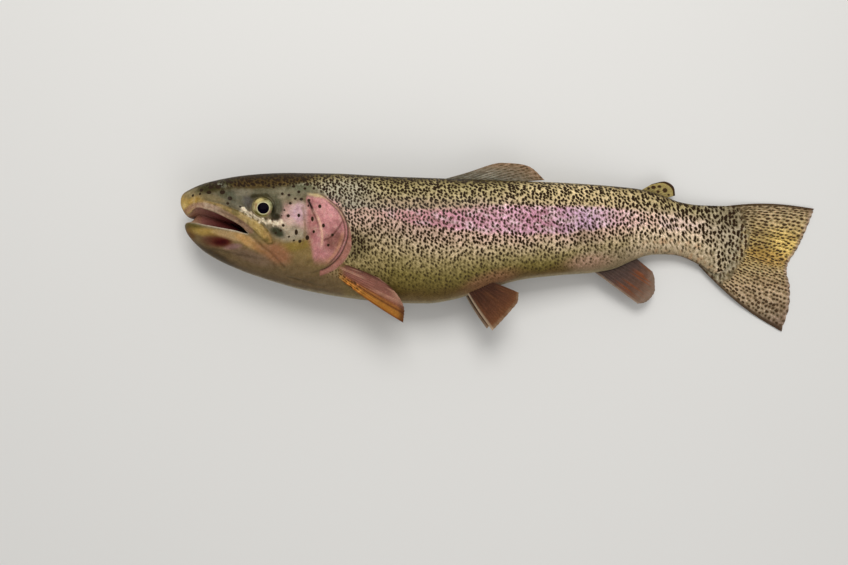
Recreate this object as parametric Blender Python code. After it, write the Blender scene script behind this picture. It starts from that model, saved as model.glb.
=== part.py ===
"""A life-size rainbow trout lying on its right flank, left flank up, mouth a little open.

The row frame: +X runs from the snout to the tail, +Y towards the back, +Z up, out of the left flank.
The fish is drawn in millimetres with the snout at x = 0 and z = 0 on the surface it lies on; the last
step moves it so that its box stands centred on the origin, and turns the millimetres into metres.
"""

import math

import bmesh
import bpy
import numpy as np
from mathutils import Matrix

MM = 0.001

# ---------------------------------------------------------------- driving sizes, in millimetres
HEAD_END = 100.0  # the nape, where the head meets the trunk on the back
GILL_BULGE = 15.5  # how far the gill opening curves back behind the nape, at mid-height
STALK_START = 330.0  # end of the anal fin, where the tail stalk begins
STALK_END = 397.0  # where the scaled stalk ends in the tail fin, on its axis
STALK_TONGUE = 11.0  # how far its flesh runs on into the fin at mid-height
TRUNK_SPLIT = 205.0  # the trunk is parted here into two lengths
JAW_TIP = 2.0
MOUTH_CORNER = 49.0
JAW_END = 78.0  # where the lower jaw's hind end meets the throat
POCKET = 16.0  # how far the mouth goes on behind its corner
PALATE_ARCH = 4.5
FLOOR_TROUGH = 5.0
GAP = 0.3  # between neighbouring solids
EYE_X, EYE_Y, EYE_RADIUS, EYE_DEPTH = 58.0, 20.5, 7.0, 4.6
EYE_PROUD = 2.0  # how far the eye stands out of the cheek
RING_POINTS = 32


def smooth(*knots):
    """A cubic curve through (position, value) knots, with slopes limited so that it never overshoots."""
    x, y = np.array(knots, float).T
    step = np.diff(y) / np.diff(x)
    slope = np.concatenate([step[:1], (step[:-1] + step[1:]) / 2, step[-1:]])
    turning = np.sign(step[:-1]) != np.sign(step[1:])
    slope[1:-1][turning] = 0.0
    limit = 3 * np.minimum(np.abs(np.append(step, step[-1])), np.abs(np.insert(step, 0, step[0])))
    slope = np.sign(slope) * np.minimum(np.abs(slope), limit)

    def value(at):
        at = np.clip(np.asarray(at, float), x[0], x[-1])
        i = np.clip(np.searchsorted(x, at, side="right") - 1, 0, len(x) - 2)
        width = x[i + 1] - x[i]
        t = (at - x[i]) / width
        return (
            y[i] * (1 + 2 * t) * (1 - t) ** 2
            + y[i + 1] * t * t * (3 - 2 * t)
            + width * (slope[i] * t * (1 - t) ** 2 + slope[i + 1] * t * t * (t - 1))
        )

    return value


def ease(t):
    t = np.clip(t, 0, 1)
    return t * t * (3 - 2 * t)


# ---------------------------------------------------------------- the fish's outlines, along x
back = smooth(
    (0, 27.2), (0.7, 29.4), (2.5, 31.3), (6.4, 33.7), (13.4, 37.0), (27, 41.0), (48, 44.6), (76, 46.2),
    (102, 46.2), (150, 44.6), (209, 43.6), (278, 43.0), (315, 41.6), (335, 40.0), (350, 36.7), (365, 31.9),
    (380, 29.6), (395, 29.2), (410, 29.0),
)
belly = smooth(
    (0, 7.0), (2, 7.2), (3.5, 3.6), (7.5, -1.2), (13.4, -6.9), (20.5, -11.7), (38, -20.4), (54, -26.4),
    (82, -34.8), (116, -41.2), (150, -44.6), (170, -45.0), (190, -42.2), (212, -35.6), (238, -28.6),
    (270, -24.8), (296, -22.8), (312, -19.8), (328, -13.6), (340, -9.8), (352, -8.8), (365, -9.6),
    (380, -14.8), (394, -23.0), (410, -37.0),
)
half_width = smooth(
    (0, 1.4), (0.7, 3.6), (2.5, 6.6), (6.4, 10.4), (13.4, 13.8), (25, 16.4), (40, 18.2), (58, 19.8),
    (80, 22.2), (100, 23.6), (125, 24.4), (160, 25.0), (200, 24.0), (240, 21.4), (280, 17.6), (315, 13.4),
    (340, 10.2), (362, 8.0), (382, 5.9), (396, 4.2), (410, 2.2),
)
jaw_half_width = smooth(
    (2, 1.6), (2.6, 3.4), (4.5, 6.4), (8, 9.4), (16, 12.8), (30, 15.6), (49, 18.4), (80, 22.2),
)
upper_lip = smooth(
    (0, 26.0), (0.7, 21.6), (2, 18.6), (4.4, 16.4), (7, 17.4), (12, 19.6), (20, 18.4), (35, 11.8),
    (42, 7.6), (49, 2.8), (70, 4.0), (100, 4.0), (160, 3.0), (250, 9.0), (330, 13.0), (380, 7.0), (410, 0.0),
)
lower_lip = smooth(
    (2, 8.6), (3.5, 10.0), (7, 11.4), (12, 11.0), (28.8, 7.2), (42, 4.4), (49, 2.4), (70, 4.0),
    (100, 4.0), (160, 3.0), (250, 9.0), (330, 13.0), (380, 7.0), (410, 0.0),
)
crease = smooth((49, 2.6), (57, -5.6), (65, -13.6), (74, -24.0), (82, -35.2))
# The rings of the bent stalk lean with its axis, and the spine sinks so that the lower flank lies down.
lean = smooth((325, 0.0), (350, 5.0), (365, 10.0), (380, 15.0), (395, 18.0), (410, 18.0))
spine = smooth(
    (0, 22.0), (60, 23.2), (100, 24.0), (125, 23.9), (160, 24.2), (200, 23.4), (240, 20.9), (280, 17.2),
    (315, 13.0), (340, 9.8), (362, 7.6), (382, 5.8), (396, 4.4), (410, 3.3),
)
SIDE_FULLNESS = 0.9  # under 1 fills out the flanks between the back and the belly


def flank(x, y, grow=0.0):
    """Distance from the fish's mid-plane to its skin at a place in the side view."""
    level = np.where(y > upper_lip(x), upper_lip(x), lower_lip(x))
    reach = np.where(y > level, back(x) - level, level - belly(x)) + grow
    inside = np.clip(1 - ((y - level) / reach) ** 2, 0, 1)
    return (half_width(x) + grow) * inside ** (SIDE_FULLNESS / 2)


def section(x, angle, grow=0.0):
    """Height and signed distance from the mid-plane, round one ring: 0 is the back and pi the belly."""
    c, s = np.round(np.cos(angle), 9), np.round(np.sin(angle), 9)
    upper, lower = upper_lip(x), lower_lip(x)
    y = np.where(c >= 0, upper + (back(x) - upper + grow) * c, lower + (lower - belly(x) + grow) * c)
    return y, np.sign(s) * (half_width(x) + grow) * np.abs(s) ** SIDE_FULLNESS


# ---------------------------------------------------------------- making objects
def clear_scene():
    for found in list(bpy.data.objects):
        bpy.data.objects.remove(found, do_unlink=True)
    for block in list(bpy.data.meshes) + list(bpy.data.curves):
        if not block.users:
            (bpy.data.meshes if isinstance(block, bpy.types.Mesh) else bpy.data.curves).remove(block)


def collection_named(name):
    made = bpy.data.collections.new(name)
    bpy.context.scene.collection.children.link(made)
    return made


def material_named(name, colour, roughness):
    made = bpy.data.materials.new(name)
    made.use_nodes = True
    shader = made.node_tree.nodes["Principled BSDF"]
    shader.inputs["Base Color"].default_value = (*colour, 1.0)
    shader.inputs["Roughness"].default_value = roughness
    shader.inputs["Metallic"].default_value = 0.0
    return made


def object_from(name, points, faces, home, finish=None):
    """A mesh object from an array of points and a list of faces, doubles merged and normals turned out."""
    mesh = bpy.data.meshes.new(name)
    mesh.from_pydata(points.tolist(), [], faces)
    tidy = bmesh.new()
    tidy.from_mesh(mesh)
    bmesh.ops.remove_doubles(tidy, verts=tidy.verts, dist=0.004)
    bmesh.ops.dissolve_degenerate(tidy, edges=tidy.edges, dist=0.004)
    bmesh.ops.recalc_face_normals(tidy, faces=tidy.faces)
    tidy.to_mesh(mesh)
    tidy.free()
    made = bpy.data.objects.new(name, mesh)
    if finish:
        mesh.materials.append(finish)
    home.objects.link(made)
    return made


def rungs(around):
    """A cap of quads across a ring with an even count, between points mirrored over its first point."""
    half = around // 2
    left, right = np.arange(half + 1), (around - np.arange(half + 1)) % around
    quads = [[left[k], right[k], right[k + 1], left[k + 1]] for k in range(1, half - 1)]
    return [[0, right[1], left[1]], *quads, [left[half - 1], right[half - 1], half]]


def loft(name, rings, home, finish=None):
    """A closed solid through rings of points, all with the same count and capped at both ends."""
    count, around = rings.shape[:2]
    i, j = np.meshgrid(np.arange(count - 1), np.arange(around), indexing="ij")
    a, b = i * around + j, i * around + (j + 1) % around
    sides = np.stack([a, b, b + around, a + around], axis=-1).reshape(-1, 4).tolist()
    front, rear = (rungs(around) if np.ptp(ring[:, 0]) > 0.01 else [list(range(around))] for ring in rings[[0, -1]])
    front = [[int(k) for k in face] for face in front]
    rear = [[int(k) + (count - 1) * around for k in face[::-1]] for face in rear]
    return object_from(name, rings.reshape(-1, 3), sides + front + rear, home, finish)


def slab(name, middle, normal, half, home, finish=None):
    """A closed thin solid round a grid of points: each is moved half its thickness out along the normal."""
    rows, columns = middle.shape[:2]
    top, bottom = middle + normal * half[..., None], middle - normal * half[..., None]
    points = np.concatenate([top.reshape(-1, 3), bottom.reshape(-1, 3)])
    i, j = np.meshgrid(np.arange(rows - 1), np.arange(columns - 1), indexing="ij")
    a = (i * columns + j).ravel()
    upper = np.stack([a, a + 1, a + columns + 1, a + columns], axis=-1)
    lower = upper[:, ::-1] + rows * columns
    grid = np.arange(rows * columns).reshape(rows, columns)
    rim = np.concatenate([grid[0, :-1], grid[:-1, -1], grid[-1, :0:-1], grid[:0:-1, 0]])
    after = np.roll(rim, -1)
    wall = np.stack([after, rim, rim + rows * columns, after + rows * columns], axis=-1)
    faces = np.concatenate([upper, lower, wall]).tolist()
    return object_from(name, points, faces, home, finish)


def boolean(target, cutter, operation="DIFFERENCE"):
    """Applies one Boolean to the target, at once, so that the cutters can be thrown away."""
    step = target.modifiers.new("cut", "BOOLEAN")
    step.operation = operation
    step.solver = "EXACT"
    step.object = cutter
    graph = bpy.context.evaluated_depsgraph_get()
    made = bpy.data.meshes.new_from_object(target.evaluated_get(graph))
    target.modifiers.clear()
    target.data = made


def shade(part, degrees=35.0):
    part.data.shade_smooth()
    part.data.set_sharp_from_angle(angle=math.radians(degrees))


# ---------------------------------------------------------------- the body, ring by ring
def gill_bulge(stations):
    """How far back the sides of each ring reach, so that a ring at the nape follows the gill opening."""
    stations = np.asarray(stations, float)
    ahead = ease((stations - JAW_END - 2) / (HEAD_END - JAW_END - 2))
    return GILL_BULGE * np.where(stations < HEAD_END, ahead, ease((150.0 - stations) / (150.0 - HEAD_END)))


def tail_bulge(stations):
    return STALK_TONGUE * ease((np.asarray(stations, float) - 345.0) / (STALK_END - 345.0))


def body_rings(stations, bulge, grow=0.0):
    """Rings of the body at stations along x; bulge is how far each ring's sides reach back."""
    angle = np.linspace(0, 2 * np.pi, RING_POINTS, endpoint=False)[None, :]
    station = np.asarray(stations, float)[:, None]
    x = station + np.asarray(bulge, float)[:, None] * np.abs(np.sin(angle)) ** 1.3
    y, out = section(x, angle, grow)
    x = x + (y - (back(station) + belly(station)) / 2) * np.tan(np.radians(lean(station)))
    y, out = section(x, angle, grow)
    z = np.maximum(spine(x) + out, -5.0 if grow else 0.0)
    return np.stack([x, y, z], axis=-1)


def head_rings(stations):
    """Rings of the skull and upper jaw: the body's rings, with the mouth's roof and the crease as a floor."""
    rings = body_rings(stations, gill_bulge(stations))
    x, y, z = np.moveaxis(rings, -1, 0)
    across = np.clip(1 - ((z - spine(x)) / half_width(x)) ** 2, 0, 1)
    roof = upper_lip(x) + PALATE_ARCH * across * ease(x / 10)
    behind = ease((x - MOUTH_CORNER) / (POCKET * np.maximum(across, 0.05)))
    parting = np.where(x < MOUTH_CORNER, roof, roof + (crease(x) + GAP / 2 - roof) * behind)
    rings[..., 1] = np.maximum(y, np.where(x > JAW_END + GAP, -1e3, parting))
    return rings


def jaw_rings(stations, arc=19, floor=8):
    """Rings of the lower jaw: an arc under it from rim to rim, then the mouth's floor back across."""
    x = np.asarray(stations, float)[:, None]
    lower, low, reach = lower_lip(x), belly(x), jaw_half_width(x)
    rim = np.where(x < MOUTH_CORNER, lower, np.minimum(lower, crease(x) - GAP / 2))
    start = np.arccos(np.clip(-(lower - rim) / (lower - low), -1, 0))
    angle = start + (2 * np.pi - 2 * start) * np.linspace(0, 1, arc)[None, :]
    under = np.sin(angle)
    out = np.sign(under) * reach * np.abs(under) ** SIDE_FULLNESS
    under_y = lower + (lower - low) * np.cos(angle)
    across = np.linspace(-1, 1, floor + 2)[None, 1:-1]
    depth = np.minimum(FLOOR_TROUGH * ease((x - JAW_TIP) / 12), 0.4 * (rim - low))
    floor_y = rim - depth * (1 - across**2)
    out = np.concatenate([out, across * np.abs(out[:, :1])], axis=1)
    y = np.concatenate([under_y, floor_y], axis=1)
    return np.stack([np.broadcast_to(x, y.shape), y, np.maximum(spine(x) + out, 0.0)], axis=-1)


def make_head(home, finish):
    stations = [0.0, 0.4, 1.2, 2.8, 5.4, 9.0, *np.linspace(14.0, MOUTH_CORNER, 7)]
    stations += [*np.linspace(54.0, JAW_END + GAP, 5), *NAPE_STATIONS]
    return loft("head", head_rings(stations), home, finish)


def make_lower_jaw(home, finish):
    stations = [JAW_TIP, 2.5, 3.6, 5.6, 9.0, *np.linspace(14.0, MOUTH_CORNER, 7)]
    stations += [*np.linspace(54.0, JAW_END, 5)]
    return loft("lower_jaw", jaw_rings(stations), home, finish)


def length_stations(start, end, step):
    return np.linspace(start, end, max(2, round((end - start) / step)) + 1)


NAPE_STATIONS = np.linspace(JAW_END + 2 * GAP, HEAD_END, 5)
FRONT_STATIONS = length_stations(HEAD_END + GAP, TRUNK_SPLIT, 9.5)
REAR_STATIONS = length_stations(TRUNK_SPLIT + GAP, STALK_START, 10.5)
STALK_STATIONS = length_stations(STALK_START + GAP, STALK_END, 7.4)


def make_length(name, stations, home, finish, grow=0.0):
    """One length of the trunk or the tail stalk, through stations along the fish."""
    return loft(name, body_rings(stations, gill_bulge(stations) + tail_bulge(stations), grow), home, finish)


# ---------------------------------------------------------------- plates of the head
def plate(name, grid, outer, inner, side, home, finish=None):
    """A curved bony plate over a grid of side-view places, from inner to outer off the skin."""
    x, y = grid
    outer, inner = np.broadcast_to(outer, x.shape), np.broadcast_to(inner, x.shape)
    middle = np.stack([x, y, spine(x) + side * (flank(x, y) + (outer + inner) / 2)], axis=-1)
    normal = np.broadcast_to(np.array([0.0, 0.0, 1.0]), middle.shape)
    made = slab(name, middle, normal, (outer - inner) / 2, home, finish)
    if finish:
        for vertex in made.data.vertices:
            vertex.co.z = max(vertex.co.z, 0.0)
    return made


gill_front = smooth((-24, 70.5), (-21, 73), (-14, 80), (-6, 84.0), (5, 86.0), (16, 86.0), (27, 85.5), (30.5, 88))
gill_back = smooth(
    (-24, 73), (-22, 88), (-17, 104.5), (-8, 112.6), (1, 115.6), (9, 115.2), (18, 111), (25, 104), (30.5, 92)
)


def gill_grid(grow=0.0):
    """Side-view places over the gill cover, in rows from its lower tip to its upper corner."""
    rows = np.concatenate([[-24], np.linspace(-22.4, 29, 11), [30.5]])
    across = np.linspace(0, 1, 6)
    y = np.broadcast_to(rows[:, None], (len(rows), len(across))).copy()
    x = gill_front(rows)[:, None] * (1 - across) + gill_back(rows)[:, None] * across
    centre_x, centre_y = 97.0, 3.0
    return centre_x + (x - centre_x) * (1 + grow / 20), centre_y + (y - centre_y) * (1 + grow / 26)


maxilla_line = smooth((14, 23.4), (30, 17.6), (45, 9.4), (56, 1.4), (65, -5.0))
maxilla_half = smooth((14, 1.6), (24, 3.4), (42, 4.6), (56, 4.8), (62, 3.8), (65, 2.0))


def maxilla_grid(grow=0.0):
    """Side-view places over the maxilla, the long upper-jaw bone that ends behind the mouth's corner."""
    x = np.linspace(14 - grow, 65 + grow, 13)[:, None]
    across = np.linspace(-1, 1, 4)[None, :]
    slope = (maxilla_line(x + 1) - maxilla_line(x - 1)) / 2
    length = np.sqrt(1 + slope**2)
    half = maxilla_half(x) + grow
    return x - across * half * slope / length, maxilla_line(x) + across * half / length


GILL_FLUSH, GILL_LIFT, GILL_INNER = 0.15, 1.2, -1.1
MAXILLA_OUTER, MAXILLA_INNER = 0.9, -1.2


def eye_centre(side):
    out = float(flank(EYE_X, EYE_Y)) + EYE_PROUD - EYE_DEPTH
    return EYE_X, EYE_Y, float(spine(EYE_X)) + side * out


def make_eye(name, side, home, finish=None, grow=0.0):
    ball = bmesh.new()
    bmesh.ops.create_uvsphere(ball, u_segments=16, v_segments=8, radius=EYE_RADIUS + grow)
    bmesh.ops.scale(ball, vec=(1, 1, (EYE_DEPTH + grow) / (EYE_RADIUS + grow)), verts=ball.verts)
    bmesh.ops.translate(ball, vec=eye_centre(side), verts=ball.verts)
    mesh = bpy.data.meshes.new(name)
    ball.to_mesh(mesh)
    ball.free()
    made = bpy.data.objects.new(name, mesh)
    if finish:
        mesh.materials.append(finish)
    home.objects.link(made)
    return made


# ---------------------------------------------------------------- fins
def along(points):
    """A smooth curve through a few (x, y) points, as a function of 0 to 1."""
    points = np.array(points, float)
    at = np.linspace(0, 1, len(points))
    parts = [smooth(*zip(at, column)) for column in points.T]
    return lambda t: np.stack([part(t) for part in parts], axis=-1)


def fan(root, edge, rays, joints, curl=0.0):
    """A grid over a fin: column t runs from root(t) to edge(t), with the rays bowed by curl."""
    t = np.linspace(0, 1, rays)
    r = np.linspace(0, 1, joints)[:, None, None]
    start, end = root(t)[None], edge(t)[None]
    bow = np.sin(np.pi * r) * curl * (t[None, :, None] - 0.5)
    across = np.stack([-(end - start)[..., 1], (end - start)[..., 0]], axis=-1)
    return start + (end - start) * r + across * bow


def make_median_fin(name, root, edge, lift, root_half, edge_half, home, finish, rays=11, joints=5, curl=0.0):
    """A fin in the mid-plane: lift gives its height over the surface at each side-view place."""
    flat = fan(root, edge, rays, joints, curl)
    middle = np.concatenate([flat, lift(flat[..., 0], flat[..., 1])[..., None]], axis=-1)
    normal = np.broadcast_to(np.array([0.0, 0.0, 1.0]), middle.shape)
    r = np.linspace(0, 1, joints)[:, None]
    half = np.broadcast_to(root_half + (edge_half - root_half) * r**0.7, middle.shape[:2])
    middle[..., 2] = np.maximum(middle[..., 2], half)
    return slab(name, middle, normal, half, home, finish)


def make_paired_fin(name, root, edge, heights, side, home, finish, root_half=1.3, edge_half=0.35, rays=9, joints=6):
    """A fin beside the mid-plane: heights gives the offset from it at the root and at the edge."""
    flat = fan(root, edge, rays, joints, 0.04)
    t = np.linspace(0, 1, rays)[None, :]
    r = np.linspace(0, 1, joints)[:, None]
    root_out, edge_out = (np.array(h)[None, :] for h in heights)
    offset = (root_out[..., 0] * (1 - t) + root_out[..., 1] * t) * (1 - r)
    offset = offset + (edge_out[..., 0] * (1 - t) + edge_out[..., 1] * t) * r
    z = spine(flat[..., 0]) + side * offset
    half = np.broadcast_to(root_half + (edge_half - root_half) * r**0.6, z.shape)
    middle = np.concatenate([flat, np.maximum(z, half + GAP / 2)[..., None]], axis=-1)
    normal = np.broadcast_to(np.array([0.0, 0.0, 1.0]), middle.shape)
    return slab(name, middle, normal, half, home, finish)


def in_mid_plane(x, y):
    return spine(np.clip(x, 0, STALK_END)) + 0 * y


def tail_droop(x, y):
    """The tail fin sinks from the stalk until it lies on the surface."""
    return 3.4 - 2.9 * ease((x - 398.0) / 45.0) + 0 * y


FIN_HALF_ROOT, FIN_HALF_EDGE = 1.2, 0.35


def make_median_fins(home, finish):
    dorsal_root = along([(178, 40.5), (190, 40.5), (206, 40), (222, 40)])
    dorsal_edge = along([(199, 48.6), (226, 56.6), (246, 54.6), (258, 44.9)])
    adipose_root = along([(333, 37.5), (339, 35.8), (345, 34.2), (351, 32.4)])
    adipose_edge = along([(344, 44.8), (354, 47.0), (361.8, 43.4), (363.4, 36.2)])
    anal_root = along([(292, -19.0), (303, -18.0), (315, -14.5), (328, -9.5)])
    anal_edge = along([(333, -46.6), (342, -43.6), (347, -35), (346, -22)])
    tail_root = along([(398.0, 28.4), (394, 14), (388, -4), (384.6, -17.6)])
    tail_edge = along(
        [(481.8, 28.0), (475, 15.5), (468.5, 2.5), (461, -9), (456.8, -19.5), (459.6, -33), (459, -50), (453.2, -69.6)]
    )
    shared = {"lift": in_mid_plane, "root_half": FIN_HALF_ROOT, "edge_half": FIN_HALF_EDGE}
    make_median_fin("dorsal_fin", dorsal_root, dorsal_edge, home=home, finish=finish, **shared)
    make_median_fin("anal_fin", anal_root, anal_edge, home=home, finish=finish, **shared)
    make_median_fin(
        "adipose_fin", adipose_root, adipose_edge, in_mid_plane, 1.6, 0.6, home, finish, rays=9, joints=5
    )
    make_median_fin(
        "caudal_fin", tail_root, tail_edge, tail_droop, 2.3, 0.45, home, finish, rays=17, joints=7, curl=-0.09
    )


def make_paired_fins(home, finish):
    pectoral_root = along([(108.5, -27), (108.5, -23.5), (109.5, -20), (111.5, -17.5)])
    pectoral_edge = along([(153, -58.0), (153.5, -49), (147, -36.5), (136.5, -27.5)])
    pelvic_root = along([(198, -36.5), (204, -34.5), (210, -32.5), (216, -30.0)])
    pelvic_edge = along([(215.5, -64.5), (224, -59.5), (232, -51), (238, -38.5)])
    for word, side in (("left", 1), ("right", -1)):
        low = 1.0 if side > 0 else 1.15
        make_paired_fin(
            f"pectoral_fin_{word}", pectoral_root, pectoral_edge,
            [(17.2, 21.4), (16.0 * low, 22.4)], side, home, finish,
        )
        make_paired_fin(
            f"pelvic_fin_{word}", pelvic_root, pelvic_edge,
            [(7.0, 10.5), (9.5 * low, 12.5 * low)], side, home, finish,
        )


# ---------------------------------------------------------------- fitting the pieces together
def fit_plates(parts, home, cutters, finishes):
    """Lays the gill covers, the maxillae and the eyes into recesses, with a gap all round."""
    lift = GILL_FLUSH + (GILL_LIFT - GILL_FLUSH) * np.linspace(0, 1, 6)[None, :]
    for word, side in (("left", 1), ("right", -1)):
        plate(f"gill_cover_{word}", gill_grid(), lift, GILL_INNER, side, home, finishes["gill"])
        plate(f"maxilla_{word}", maxilla_grid(), MAXILLA_OUTER, MAXILLA_INNER, side, home, finishes["jaw"])
        make_eye(f"eye_{word}", side, home, finishes["eye"])
        gill_bed = plate("gill_bed", gill_grid(GAP), GILL_LIFT + 4, GILL_INNER - GAP, side, cutters)
        bone_bed = plate("bone_bed", maxilla_grid(GAP), MAXILLA_OUTER + 4, MAXILLA_INNER - GAP, side, cutters)
        socket = make_eye("socket", side, cutters, grow=GAP)
        cuts = [("head", gill_bed), ("trunk_front", gill_bed), ("lower_jaw", gill_bed)]
        cuts += [("head", bone_bed), ("lower_jaw", bone_bed), ("head", socket)]
        for name, cutter in cuts:
            boolean(parts[name], cutter)
        for cutter in (gill_bed, bone_bed, socket):
            bpy.data.objects.remove(cutter, do_unlink=True)


def trim_fins(home, cutters):
    """Cuts every fin's root to the body's own surface, a gap off it."""
    stations = np.concatenate([NAPE_STATIONS, FRONT_STATIONS[1:], REAR_STATIONS, STALK_STATIONS, [STALK_END + GAP]])
    grown = make_length("grown_body", stations, cutters, None, GAP)
    for fin in [part for part in home.objects if "_fin" in part.name]:
        boolean(fin, grown)
        keep_largest_shell(fin)
    bpy.data.objects.remove(grown, do_unlink=True)


def keep_largest_shell(part):
    """Drops the slivers that a trim leaves on the far side of the body."""
    mesh = bmesh.new()
    mesh.from_mesh(part.data)
    left, shells = set(mesh.verts), []
    while left:
        reached, edge = set(), {left.pop()}
        while edge:
            reached |= edge
            edge = {e.other_vert(v) for v in edge for e in v.link_edges} - reached
        left -= reached
        shells.append(reached)
    shells.sort(key=len)
    bmesh.ops.delete(mesh, geom=[v for shell in shells[:-1] for v in shell], context="VERTS")
    mesh.to_mesh(part.data)
    mesh.free()


def settle(home):
    """Centres the whole fish's box on the origin in x and y, and turns millimetres into metres."""
    corners = np.concatenate(
        [np.array([v.co for v in part.data.vertices], float) for part in home.objects]
    )
    low, high = corners.min(axis=0), corners.max(axis=0)
    shift = Matrix.Translation((-(low[0] + high[0]) / 2, -(low[1] + high[1]) / 2, 0.0))
    for part in home.objects:
        part.data.transform(Matrix.Scale(MM, 4) @ shift)
        shade(part)


def build():
    clear_scene()
    home = collection_named("rainbow_trout")
    cutters = collection_named("cutters")
    skin = material_named("skin", (0.42, 0.38, 0.2), 0.35)
    finishes = {
        "gill": material_named("gill_cover", (0.6, 0.3, 0.28), 0.3),
        "jaw": material_named("jaw", (0.5, 0.42, 0.18), 0.35),
        "eye": material_named("eye", (0.6, 0.55, 0.3), 0.1),
    }
    fin = material_named("fin", (0.4, 0.3, 0.16), 0.4)
    parts = {
        "head": make_head(home, skin),
        "lower_jaw": make_lower_jaw(home, finishes["jaw"]),
        "trunk_front": make_length("trunk_front", FRONT_STATIONS, home, skin),
    }
    make_length("trunk_rear", REAR_STATIONS, home, skin)
    make_length("tail_stalk", STALK_STATIONS, home, skin)
    make_median_fins(home, fin)
    make_paired_fins(home, fin)
    fit_plates(parts, home, cutters, finishes)
    trim_fins(home, cutters)
    settle(home)


build()
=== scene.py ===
"""A life-size rainbow trout lying on its right flank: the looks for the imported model, as an add-on.

All shapes are computed as whole arrays, in millimetres, in the fish's own side view: x runs from the
snout to the tail, y from the belly to the back, and z out of the left flank from the floor.
"""

import math

import bpy
import numpy as np
from bpy.props import FloatProperty, FloatVectorProperty, IntProperty, PointerProperty
from mathutils import Matrix, Vector


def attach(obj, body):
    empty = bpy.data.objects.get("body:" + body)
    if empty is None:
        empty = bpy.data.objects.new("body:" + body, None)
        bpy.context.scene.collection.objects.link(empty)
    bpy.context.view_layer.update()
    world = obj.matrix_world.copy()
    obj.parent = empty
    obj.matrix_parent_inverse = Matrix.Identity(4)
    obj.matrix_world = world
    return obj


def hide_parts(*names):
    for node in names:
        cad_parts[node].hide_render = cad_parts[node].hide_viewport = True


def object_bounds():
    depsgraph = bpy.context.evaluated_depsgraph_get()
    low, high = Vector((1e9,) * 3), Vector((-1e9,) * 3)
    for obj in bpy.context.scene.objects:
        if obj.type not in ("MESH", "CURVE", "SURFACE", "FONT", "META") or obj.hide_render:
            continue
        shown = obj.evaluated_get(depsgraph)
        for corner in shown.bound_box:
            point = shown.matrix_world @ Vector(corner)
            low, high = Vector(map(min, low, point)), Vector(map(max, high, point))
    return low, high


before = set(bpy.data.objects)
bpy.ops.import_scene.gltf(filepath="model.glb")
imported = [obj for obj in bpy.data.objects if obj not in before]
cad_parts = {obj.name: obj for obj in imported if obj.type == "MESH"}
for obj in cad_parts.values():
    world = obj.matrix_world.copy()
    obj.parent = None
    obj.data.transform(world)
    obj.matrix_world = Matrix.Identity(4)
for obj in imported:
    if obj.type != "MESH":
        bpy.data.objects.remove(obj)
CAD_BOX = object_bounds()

bl_info = {
    "name": "Rainbow Trout",
    "version": (1, 0, 0),
    "blender": (4, 5, 0),
    "location": "3D View > Sidebar > Trout",
    "description": "Builds the skin, scales, fins, eyes and stage of a life-size rainbow trout",
    "category": "Add Mesh",
}

MM = 0.001
LOWEST_Y = -69.6  # the tail's lower tip, below the fish's axis
BODY_NODES = (
    "head", "lower_jaw", "maxilla_left", "maxilla_right", "gill_cover_left", "gill_cover_right",
    "trunk_front", "trunk_rear", "tail_stalk",
)
JAW_TIP = 2.8
MOUTH_CORNER = 49.0
POCKET_END = 64.0  # where the mouth's lining closes
NAPE = 118.0  # where the dense rings of the head give way to the trunk's
TRUNK_START = 122.0  # all marks behind this place are the trunk's
HEAD_END = 126.0  # the head's relief and colours end before this place
TAIL_END = 404.0  # the body's last ring, inside the base of the tail fin
TAIL_TONGUE = 11.0  # how much further back that ring runs on the flanks than at its edges
FLOOR_GAP = 0.02  # the skin's least height over the floor
CEILING, CEILING_EASE = 49.15, 0.6  # the skin stays below this height, and nears it this softly
EYE_X, EYE_Y = 58.2, 20.5
EYE_RING = 6.85  # radius of the ring of skin round the eye
PUPIL_X, PUPIL_Y = 0.55, -0.85  # the pupil's centre, from the eye's
TRUNK_ROWS, MOUTH_ROWS = 96, 40  # rings of skin behind the nape, and inside the lips
LIE_START, LIE_ROWS, LIE_COLUMNS = 0.5, 480, 241  # the table of distances round the body
FLANK_START, FLANK_ROWS = 80.0, 420  # the finer grid that the scales are rooted on
FIRST_RANK = 82.0  # the foremost rank of scales
SIDES = (("left", 1.0), ("right", -1.0))


# ------------------------------------------------------------------------------------ curves
def smooth(*knots):
    """A cubic curve through (position, value) knots, its slopes limited so that it never overshoots."""
    x, y = np.array(knots, float).T
    step = np.diff(y) / np.diff(x)
    slope = np.concatenate([step[:1], (step[:-1] + step[1:]) / 2, step[-1:]])
    turning = np.sign(step[:-1]) != np.sign(step[1:])
    slope[1:-1][turning] = 0.0
    limit = 3 * np.minimum(np.abs(np.append(step, step[-1])), np.abs(np.insert(step, 0, step[0])))
    slope = np.sign(slope) * np.minimum(np.abs(slope), limit)

    def value(at):
        at = np.clip(np.asarray(at, float), x[0], x[-1])
        i = np.clip(np.searchsorted(x, at, side="right") - 1, 0, len(x) - 2)
        width = x[i + 1] - x[i]
        t = (at - x[i]) / width
        ends = y[i] * (1 + 2 * t) * (1 - t) ** 2 + y[i + 1] * t * t * (3 - 2 * t)
        return ends + width * (slope[i] * t * (1 - t) ** 2 + slope[i + 1] * t * t * (t - 1))

    return value


def ease(t):
    """A soft step: 0 up to t = 0, 1 from t = 1, and 3 t squared less 2 t cubed between."""
    t = np.clip(t, 0, 1)
    return t * t * (3 - 2 * t)


def bell(distance, width):
    """1 at no distance, falling off as a bell curve of the given width."""
    return np.exp(-((distance / width) ** 2))


def along(points):
    """A smooth curve through a few points, as a function of 0 to 1."""
    points = np.array(points, float)
    at = np.linspace(0, 1, len(points))
    parts = [smooth(*zip(at, column)) for column in points.T]
    return lambda t: np.stack([part(t) for part in parts], axis=-1)


LINE_SAMPLES, LOOP_SAMPLES = 26, 60


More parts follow.
